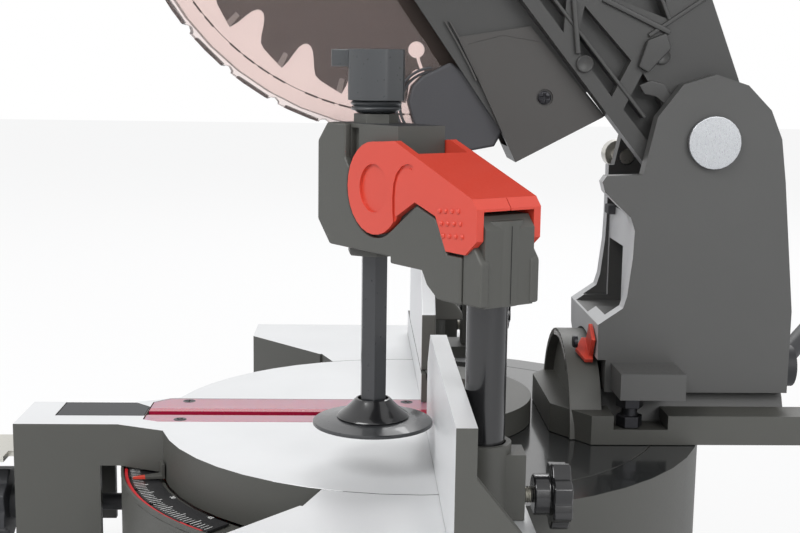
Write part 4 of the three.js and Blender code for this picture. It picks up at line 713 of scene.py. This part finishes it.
# Head: positions are measured from the arbor.
PANEL_STEP = [(30, -97.2), (47, -92.6), (66, -95.6)]
RIBS = (
    # start, end, thickness, how far it stands out in x
    ((80.3, -74.9), (83.3, -101.2), 2.4, 32.2),
    ((94.8, -74.7), (128.4, -90.3), 2.6, 31.6),
    ((60, -62), (118, -132), 1.8, 30.6),
    ((118, -92), (150, -70), 2.2, 31.0),
    ((84, -44), (96, -73), 2.2, 31.4),
    ((100, -20), (128, -84), 2.0, 30.8),
)
ARM_BLOCK = [(113, -107), (118, -110), (129, -98), (126, -90.5), (117, -94)]
ARM_CRESCENT = [
    (114, -116), (120, -113.6), (127, -115.4), (130.5, -121), (128, -126), (122.6, -121.6), (117, -120.6),
]
EJECTOR_MARKS = ((86.9, -106.1), (124.9, -101.6), (62, -62))
TOOTH = (
    # share of the way to the next tooth, radius: a face, a rounded gullet and a long back
    (0.0, BLADE_RADIUS), (0.035, 122.6), (0.05, 118), (0.075, 113.4), (0.12, 110.9), (0.18, 109.9),
    (0.25, 110.2), (0.32, 112), (0.39, 115.4), (0.45, 119.2), (0.52, 122.6), (0.62, 124.1), (0.8, 125.4),
)


def in_head(y, z, x=0.0):
    """A point of the head, measured from the arbor, in the saw's frame."""
    return (x, ARBOR.y + y, ARBOR.z + z)


def head_points(points):
    """Outline points of the head, measured from the arbor, as [y, z] of the saw."""
    return [(ARBOR.y + y, ARBOR.z + z) for y, z in points]


def plain_plate(name, outline, low, high, material="dark_recess", width=0.0):
    """A plate that lies across x, from low to high."""
    return plate(name, outline, low, high, stood("x"), material, width=width)


def side_panel_piece():
    """The panel beside the chute, with a round screw recess, a faint step and two lips."""
    plastic = "matt_panel_plastic"
    place = stood("x", in_head(69, -123, 19.2))
    well = lathe("well", [(0, 0), (4.3, 0), (4.3, 4), (0, 4)], place, plastic, sides=40)
    line = plain_plate("step_cut", stroke(head_points(PANEL_STEP), 0.35), 20.15, 21)
    soften("side_panel", plastic, width=0.5, slot="gloss_black", cuts=[well, line])
    profile = [(0, 0), (3.4, 0), (3.4, 0.405), (2.924, 0.72), (1.7, 0.9), (0, 0.9)]
    head = lathe("panel_screw", profile, Matrix(), "blued_steel", sides=24)
    screw = template_of(smooth(carved(head, *cross_cut(2.108, 0.442, 0.27, 1.8))))
    repeat("side_panel_screw", screw, [(in_head(69, -123, 19.25), (0, 90, 0), 1.0)], "head")
    lips = []
    for shift in (0.0, 2.2):
        line = [(20.6 - shift, -86), (27.5 - shift, -97.5), (33.4 - shift, -108), (36.8 - shift, -115)]
        lips.append(plain_plate("lip", stroke(head_points(line), 0.8), 18.2, 20.6 - shift * 0.4, plastic))
    finish_piece(smooth(merged("side_panel_lips", *lips)), "head")


def arm_ribs():
    """Ribs, ejector marks and small blocks of the ribbed arm."""
    paint = "arm_dark_paint"
    ribs = [
        plain_plate("rib", stroke(head_points([start, end]), thick), 21.2, reach, paint, width=0.5)
        for start, end, thick, reach in RIBS
    ]
    finish_piece(smooth(merged("arm_ribs", *ribs)), "head")
    block = plain_plate("arm_block", head_points(ARM_BLOCK), 21.2, 33.4, paint, width=1.0)
    finish_piece(block, "head")
    crescent = plain_plate("arm_crescent", head_points(ARM_CRESCENT), 28.9, 31.4, paint, width=0.7)
    finish_piece(crescent, "head")
    profile = [(0, 0), (4.3, 0), (4.1, 0.5), (3.7, 0.7), (3.5, 0.5), (0, 0.5)]
    mark = template_of(lathe("ejector_mark", profile, Matrix(), paint, sides=28))
    places = [(in_head(y, z, 30.8), (0, 90, 0), 1.0) for y, z in EJECTOR_MARKS]
    repeat("arm_ejector_marks", mark, places, "head")


def rolled_ring(radius, x, thick=0.7, steps=28, sides=8):
    """Most of a rubber ring round the scoop's mouth, its section a circle of radius thick."""
    middle = Vector(in_head(14, -128))
    work = bmesh.new()
    loops = []
    for i in range(steps + 1):
        turn = math.radians(95 + 165 * i / steps)
        outward = Vector((0, math.cos(turn), math.sin(turn)))
        loop = []
        for k in range(sides):
            a = 2 * math.pi * k / sides
            spot = middle + outward * (radius + thick * math.cos(a)) + Vector((x + thick * math.sin(a), 0, 0))
            loop.append(work.verts.new(spot * MM))
        loops.append(loop)
    for a, b in zip(loops, loops[1:]):
        for k in range(sides):
            work.faces.new((a[k], a[(k + 1) % sides], b[(k + 1) % sides], b[k]))
    for end in (loops[0], loops[-1]):
        work.faces.new(end)
    bmesh.ops.recalc_face_normals(work, faces=work.faces)
    return from_bmesh("ring", work, "moulded_rubber")


def scoop_rings():
    """Rolled rings round the mouth of the dust scoop."""
    rings = [rolled_ring(17.2, 12.6), rolled_ring(19.2, 13.8)]
    finish_piece(smooth(merged("dust_scoop_rings", *rings), 50), "head")


def blade_outline():
    """The blade's edge, tooth by tooth."""
    outline = []
    for tooth in range(TEETH):
        for share, radius in TOOTH:
            turn = -(tooth + share) * 2 * math.pi / TEETH
            outline.append((ARBOR.y - radius * math.cos(turn), ARBOR.z + radius * math.sin(turn)))
    return outline


def blade_piece():
    """The toothed plate with relief slots, and its carbide tips."""
    steel = "blade_ground_plate"
    disc = plain_plate("blade_surface", blade_outline(), -0.9, 0.9, steel)
    cuts = [lathe("bore", [(0, -3), (8.4, -3), (8.4, 3), (0, 3)], stood("x", in_head(0, 0)), steel, sides=40)]
    for i in range(4):
        turn = math.radians(90 * i + 3)
        middle = stood("x", in_head(100 * math.cos(turn), 100 * math.sin(turn)))
        cuts.append(lathe("slot_end", [(0, -3), (4.2, -3), (4.2, 3), (0, 3)], middle, steel, sides=24))
        bends = ((101, turn), (106, turn + 0.01), (113.5, turn + 0.03))
        line = [(r * math.cos(t), r * math.sin(t)) for r, t in bends]
        cuts.append(plain_plate("slot", stroke(head_points(line), 1.7), -3, 3))
    smooth(carved(disc, *cuts), 30)
    finish_piece(disc, "arbor", ["blade"])
    outline = [(0, 0), (3.1, -0.75), (3.1, -7.6), (0.5, -7.6)]
    tip = template_of(plate("carbide_tip", outline, -1.35, 1.35, Matrix(), "sintered_carbide"))
    places = []
    for tooth in range(TEETH):
        angle = -tooth * 2 * math.pi / TEETH
        out = Vector((0, -math.cos(angle), math.sin(angle)))
        ahead = Vector((0, math.sin(angle), math.cos(angle)))
        places.append((ARBOR + BLADE_RADIUS * out, facing(ahead, out), 1.0))
    repeat("blade_carbide_tips", tip, places, "arbor")


def round_guard(degrees):
    """The directions outwards and along the guard's rim, at a turn about the arbor."""
    angle = math.radians(degrees)
    return Vector((0, math.cos(angle), math.sin(angle))), Vector((0, -math.sin(angle), math.cos(angle)))


GUARD_LINE = 132.5
GUARD_RIM = 143.3


def guard_marks():
    """Moulded dashes, rim lips and a fine line of the lower guard."""
    dash = template_of(box("guard_dash", (-3.4, -0.45, -0.3), (3.4, 0.45, 0.3), "guard_ink"))
    places = []
    line = []
    for i in range(34):
        out, along = round_guard(151 + 129 * i / 33)
        line.append((ARBOR + GUARD_LINE * out).yz)
        if i % 5 != 4:
            places.append((ARBOR + GUARD_LINE * out + Vector((8.1, 0, 0)), facing(along, out), 1.0))
    repeat("lower_guard_dashes", dash, places, "guard")
    lip = template_of(box("rim_lip", (-9, -0.8, -7.9), (9, 0.4, 7.9), "guard_ink"))
    places = []
    for i in range(11):
        out, along = round_guard(158.1 + 11.25 * i)
        places.append((ARBOR + GUARD_RIM * out, facing(along, out), 1.0))
    repeat("lower_guard_lips", lip, places, "guard")
    line_plate = plain_plate("lower_guard_line", stroke(line, 0.3), 8.0, 8.25, "guard_ink")
    finish_piece(line_plate, "guard")


# Colours and sizes that a user would change
def colour_property(name, code, about):
    return bpy.props.StringProperty(name=name, description=about, default=code)


def length_property(name, value, about, low=0.0, high=50.0):
    about += ", in millimetres"
    return bpy.props.FloatProperty(name=name, description=about, default=value, min=low, max=high)


class SAW_PG_look(bpy.types.PropertyGroup):
    """The colours of the saw and the sizes of its small details"""

    cast_colour: colour_property("Dark castings", "#484844", "Paint of the base, clamp and platform")
    arm_colour: colour_property("Arm", "#3A3A39", "Painted castings of the head")
    column_colour: colour_property("Column", "#4E4E4D", "Painted casting of the column")
    table_colour: colour_property("Table", "#D8D9DA", "Faced top of the turntable and the wings")
    fence_colour: colour_property("Fence", "#DCDDDE", "Milled faces of the fence")
    plastic_colour: colour_property("Plastic", "#252629", "Moulded covers and handles")
    rubber_colour: colour_property("Rubber", "#3F3F42", "Dust scoop and feet")
    red_colour: colour_property("Red", "#C8402F", "Lever, pointer and trigger")
    insert_colour: colour_property("Kerf insert", "#D68E9C", "Translucent red insert")
    guard_colour: colour_property("Guard", "#F5E8E5", "Tinted clear guard")
    blade_colour: colour_property("Blade", "#3D3531", "Ground plate of the blade")
    edge: length_property("Cast edge", 0.9, "Rounding of cast edges", 0.1, 3.0)
    crisp: length_property("Machined edge", 0.4, "Rounding of machined edges", 0.05, 2.0)
    tick: length_property("Tick length", 6.5, "Length of a tick of the mitre scale", 1.0, 8.0)


def look():
    return bpy.context.scene.saw_look


class SAW_OT_materials(bpy.types.Operator):
    """Makes every material of the saw"""

    bl_idname = "saw.materials"
    bl_label = "Materials"

    def execute(self, context):
        make_materials(look())
        return {"FINISHED"}


def soften_each(nodes, material, width, slot):
    """Several nodes that share one material and one rounding."""
    for node in nodes:
        soften(node, material, width=width, slot=slot)


def topped(split):
    """Picks paint, machined metal or lacquer: metal on top before a y, lacquer on top behind it."""
    def tone(normal, middle):
        if normal.z <= 0.9 or middle.z <= TABLE_TOP - 0.5:
            return 0
        return 1 if middle.y < split else 2

    return tone


class SAW_OT_base(bpy.types.Operator):
    """Base casting, feet and mitre scale"""

    bl_idname = "saw.base"
    bl_label = "Base"

    def execute(self, context):
        soften("base_casting", "cast_grey_paint", "table_faced_aluminium", "black_lacquered_deck",
               width=look().edge, slot="machined", splits=[((0, BASE_SPLIT_Y, 0), (0, 1, 0))],
               tone=topped(BASE_SPLIT_Y))
        feet = ("foot_front_left", "foot_front_right", "foot_rear_left", "foot_rear_right")
        soften_each(feet, "moulded_rubber", 0.8, "rubber")
        soften("mitre_scale", "dark_scale_face", width=0.15, slot="machined")
        scale_marks()
        soften("pivot_bolt", "zinc_plated_steel", width=0.4, slot="bright_steel")
        return {"FINISHED"}


def table_edge(middle):
    """The turntable's upper round edge and the end of its arm, which alone are rounded."""
    return middle.z > 84.9 and (middle.xy.length > 125 or middle.y < -100 and abs(middle.x) > 21)


def insert_tone(normal, middle):
    """A kerf insert's milky top, its red edges with one band, and the dark band beside it."""
    outer, inner = INSERT_BANDS
    if normal.x > 0.5 or normal.y < -0.5 or outer < middle.x < inner:
        return 1
    return 2 if inner < middle.x < 0 else 0


class SAW_OT_table(bpy.types.Operator):
    """Turntable, kerf inserts, tongue, pointer, lock and detent"""

    bl_idname = "saw.table"
    bl_label = "Turntable"

    def execute(self, context):
        soften("turntable", "cast_grey_paint", "table_faced_aluminium", "black_lacquered_deck",
               width=1.8, segments=1, slot="machined", splits=[((0, TABLE_SPLIT_Y, 0), (0, 1, 0))],
               only=table_edge, tone=topped(TABLE_SPLIT_Y))
        for node in ("kerf_insert_left", "kerf_insert_right"):
            soften(node, "translucent_red_insert", "red_insert_edge", "dark_recess", width=0.3,
                   slot="insert_red", splits=[((x, 0, 0), (1, 0, 0)) for x in INSERT_BANDS], tone=insert_tone)
        insert_screws()
        soften("arm_tongue", "moulded_dark_plastic", width=0.4, slot="gloss_black")
        tip = Vector(round_about(POINTER_RED_FROM, 17, 0))
        soften("mitre_pointer", "cast_grey_paint", "moulded_red_plastic", width=0.3, slot="red",
               splits=[(tip, tip.normalized())], tone=lambda n, c: 1 if c.xy.length > POINTER_RED_FROM else 0)
        soften("mitre_lock_knob", "moulded_dark_plastic", width=0.8, slot="dark_plastic")
        soften("detent_lever", "zinc_plated_steel", width=0.5, slot="bright_steel")
        return {"FINISHED"}


def fence_tone(normal, middle):
    """The fence's front faces and low tops are milled."""
    return 1 if middle.y < 16.2 and (normal.y < -0.9 or normal.z > 0.6 and middle.z > 102) else 0


class SAW_OT_fence(bpy.types.Operator):
    """Fence, sliding fence and their knobs"""

    bl_idname = "saw.fence"
    bl_label = "Fence"

    def execute(self, context):
        for node in ("fence_casting", "fence_slide"):
            soften(node, "cast_grey_paint", "fence_milled_aluminium", width=look().edge, slot="machined",
                   tone=fence_tone)
        fence_studs()
        for node in ("fence_slide_knob", "socket_knob_right", "socket_knob_left"):
            soften(node, "polished_black_plastic", width=1.1, segments=3, slot="dark_plastic")
        return {"FINISHED"}


class SAW_OT_clamp(bpy.types.Operator):
    """Work clamp: post, arm, lever, rod, knob and pad"""

    bl_idname = "saw.clamp"
    bl_label = "Work clamp"

    def execute(self, context):
        soften("clamp_post", "polished_black_plastic", width=0.5, slot="gloss_black")
        clamp_arm_body()
        clamp_lever_piece()
        soften("clamp_rod", "black_coated_steel", width=0.2, slot="black_steel")
        clamp_knob_piece()
        clamp_pad_piece()
        return {"FINISHED"}


class SAW_OT_column(bpy.types.Operator):
    """Bevel platform, column, pointer, stop and lock"""

    bl_idname = "saw.column"
    bl_label = "Column"

    def execute(self, context):
        soften("rear_trunnion", "cast_grey_paint", width=look().edge, slot="cast_grey")
        soften("bevel_pivot_pin", "ground_steel", width=0.3, slot="bright_steel")
        soften("bevel_stop_bolt", "blued_steel", width=0.3, slot="bright_steel")
        soften("bevel_lock_lever", "moulded_dark_plastic", width=0.7, slot="gloss_black")
        # The column's lit front edges take a painted highlight.
        soften("column_casting", "column_grey_paint", "wiped_cast_aluminium", width=1.2, slot="cast_grey",
               tone=column_tone)
        soften("bevel_pointer", "moulded_red_plastic", width=0.3, slot="red")
        column_details()
        soften("chop_shaft", "ground_steel", width=0.4, slot="bright_steel")
        soften("return_spring", "blued_steel", width=0.0, slot="bright_steel")
        soften("head_lock_pin", "zinc_plated_steel", width=0.4, slot="bright_steel")
        return {"FINISHED"}


class SAW_OT_arm(bpy.types.Operator):
    """Arm casting, covers, scoop and dust port"""

    bl_idname = "saw.arm"
    bl_label = "Arm and covers"

    def execute(self, context):
        soften("arm_casting", "arm_dark_paint", width=look().edge, slot="cast_grey")
        soften_each(("drive_cover", "upper_guard"), "arm_dark_paint", 1.2, "cast_grey")
        soften("dust_port", "moulded_dark_plastic", width=0.6, slot="dark_plastic")
        side_panel_piece()
        arm_ribs()
        soften("dust_scoop", "moulded_rubber", width=5.5, segments=6, slot="rubber", angle=50)
        scoop_rings()
        soften("drive_belt", "moulded_rubber", width=0.0, slot="rubber")
        return {"FINISHED"}


def guard_tone(normal, middle):
    """The guard's rim is darker than its walls."""
    return 1 if abs(normal.x) < 0.3 and (middle.yz - ARBOR.yz).length > 140 else 0


class SAW_OT_blade(bpy.types.Operator):
    """Blade, flanges, spindle and lower guard"""

    bl_idname = "saw.blade"
    bl_label = "Blade and guard"

    def execute(self, context):
        blade_piece()
        soften("outer_flange", "ground_steel", width=0.4, slot="bright_steel")
        soften("blade_bolt", "blued_steel", width=0.3, slot="bright_steel")
        soften("spindle", "ground_steel", width=0.2, slot="bright_steel")
        soften("spindle_bearing", "ground_steel", width=0.3, slot="bright_steel")
        soften("lower_guard", "tinted_polycarbonate", "polycarbonate_edge", width=0.3, slot="guard_tint",
               tone=guard_tone)
        guard_marks()
        return {"FINISHED"}


class SAW_OT_motor(bpy.types.Operator):
    """Motor housing, end cap, brushes, gland, armature and field"""

    bl_idname = "saw.motor"
    bl_label = "Motor"

    def execute(self, context):
        soften("motor_housing", "moulded_dark_plastic", width=1.0, slot="dark_plastic")
        soften("motor_end_cap", "moulded_dark_plastic", width=0.8, slot="dark_plastic")
        soften_each(("brush_cap_front", "brush_cap_rear"), "polished_black_plastic", 0.4, "gloss_black")
        soften("cable_gland", "moulded_rubber", width=0.6, slot="rubber")
        soften("armature", "wound_copper", width=0.2, slot="copper")
        soften("armature_bearing", "ground_steel", width=0.2, slot="bright_steel")
        soften("field_stator", "wound_copper", width=0.2, slot="copper")
        return {"FINISHED"}


class SAW_OT_handles(bpy.types.Operator):
    """Main handle, trigger, lock-off button and carrying handle"""

    bl_idname = "saw.handles"
    bl_label = "Handles"

    def execute(self, context):
        soften("main_handle", "moulded_dark_plastic", width=2.2, segments=3, slot="dark_plastic")
        soften("trigger", "moulded_red_plastic", width=0.8, slot="red")
        soften("lock_off_button", "moulded_red_plastic", width=0.4, slot="red")
        soften("carry_handle", "moulded_dark_plastic", width=1.8, segments=3, slot="dark_plastic")
        return {"FINISHED"}


# Stage
FLOOR_GLOW = 0.86
ROOM_STRENGTH = 0.55
LAMP_TARGET = Vector((0, 0, 150))


def pale_floor():
    """A floor that is nearly white to the eye and still takes soft shadows."""
    floor = box("floor", (-6000, -6000, -20), (6000, 6000, 0))
    paint = bpy.data.materials.new("pale_floor")
    paint.use_nodes = True
    tree = paint.node_tree
    shader = tree.nodes["Principled BSDF"]
    wire(tree, shader, {"Base Color": linear("#E9E9EA"), "Roughness": 0.8})
    seen = add_node(tree, "ShaderNodeLightPath").outputs["Is Camera Ray"]
    share = add_node(tree, "ShaderNodeMath", {0: seen, 1: FLOOR_GLOW}, operation="MULTIPLY")
    glow = add_node(tree, "ShaderNodeEmission", {"Color": (1, 1, 1, 1)})
    blend = add_node(tree, "ShaderNodeMixShader", {
        0: share.outputs[0], 1: shader.outputs[0], 2: glow.outputs[0],
    })
    wire(tree, tree.nodes["Material Output"], {0: blend.outputs[0]})
    floor.data.materials.clear()
    floor.data.materials.append(paint)


def soft_room():
    """Even light from all round, before a white backdrop that shows, passes through and mirrors."""
    world = bpy.data.worlds.new("soft_room")
    world.use_nodes = True
    tree = world.node_tree
    room = tree.nodes["Background"]
    wire(tree, room, {"Color": linear("#F2F4F7"), "Strength": ROOM_STRENGTH})
    backdrop = add_node(tree, "ShaderNodeBackground", {"Color": (1, 1, 1, 1)})
    rays = add_node(tree, "ShaderNodeLightPath").outputs
    seen = add_node(tree, "ShaderNodeMath", {
        0: rays["Is Camera Ray"], 1: rays["Is Transmission Ray"],
    }, operation="MAXIMUM")
    mirrored = add_node(tree, "ShaderNodeMath", {
        0: seen.outputs[0], 1: rays["Is Glossy Ray"],
    }, operation="MAXIMUM")
    mix = add_node(tree, "ShaderNodeMixShader", {
        0: mirrored.outputs[0], 1: room.outputs[0], 2: backdrop.outputs[0],
    })
    wire(tree, tree.nodes["World Output"], {0: mix.outputs[0]})
    return world


def area_lamp(name, place, power, size=900):
    """A square lamp that looks at the saw."""
    light = bpy.data.lights.new(name, "AREA")
    light.energy = power
    light.size = size * MM
    lamp = new_object(name, light)
    lamp.location = Vector(place) * MM
    lamp.rotation_euler = (LAMP_TARGET * MM - lamp.location).to_track_quat("-Z", "Y").to_euler()


def solved_camera():
    """The camera that was solved from the photograph."""
    eye = bpy.data.cameras.new("camera")
    eye.sensor_width = 36.0
    eye.lens = CAMERA_LENS
    eye.clip_start = 0.02
    camera = new_object("camera", eye)
    yaw, pitch, roll = (math.radians(v) for v in CAMERA_TURNS)
    ahead = Vector((-math.cos(yaw), math.sin(yaw), 0)) * math.cos(pitch) + Vector((0, 0, -math.sin(pitch)))
    level = Vector((math.sin(yaw), math.cos(yaw), 0))
    above = level.cross(ahead)
    right = level * math.cos(roll) + above * math.sin(roll)
    up = right.cross(ahead)
    turned = Matrix((right, up, -ahead)).transposed().to_4x4()
    camera.matrix_world = Matrix.Translation(CAMERA_PLACE) @ turned
    return camera


class SAW_OT_stage(bpy.types.Operator):
    """Floor, light and camera"""

    bl_idname = "saw.stage"
    bl_label = "Stage"

    def execute(self, context):
        scene = context.scene
        scene.view_settings.view_transform = "Standard"
        pale_floor()
        scene.world = soft_room()
        area_lamp("key_lamp", (900, -900, 1500), 22)
        area_lamp("fill_lamp", (1500, 700, 900), 11)
        area_lamp("back_lamp", (-1200, 500, 1400), 12)
        scene.camera = solved_camera()
        return {"FINISHED"}


class SAW_PT_panel(bpy.types.Panel):
    """The steps of the saw, in order"""

    bl_idname = "SAW_PT_panel"
    bl_label = "Mitre saw"
    bl_space_type = "VIEW_3D"
    bl_region_type = "UI"
    bl_category = "Saw"

    def draw(self, context):
        for name in SAW_PG_look.__annotations__:
            self.layout.prop(context.scene.saw_look, name)
        for step in STEPS:
            self.layout.operator(step.bl_idname)


STEPS = (
    SAW_OT_materials, SAW_OT_base, SAW_OT_table, SAW_OT_fence, SAW_OT_clamp, SAW_OT_column,
    SAW_OT_arm, SAW_OT_blade, SAW_OT_motor, SAW_OT_handles, SAW_OT_stage,
)
CLASSES = (SAW_PG_look, *STEPS, SAW_PT_panel)


def register():
    for cls in CLASSES:
        bpy.utils.register_class(cls)
    bpy.types.Scene.saw_look = bpy.props.PointerProperty(type=SAW_PG_look)


def unregister():
    del bpy.types.Scene.saw_look
    for cls in reversed(CLASSES):
        bpy.utils.unregister_class(cls)


def main():
    register()
    for step in STEPS:
        group, name = step.bl_idname.split(".")
        getattr(getattr(bpy.ops, group), name)()


if __name__ == "__main__":
    main()
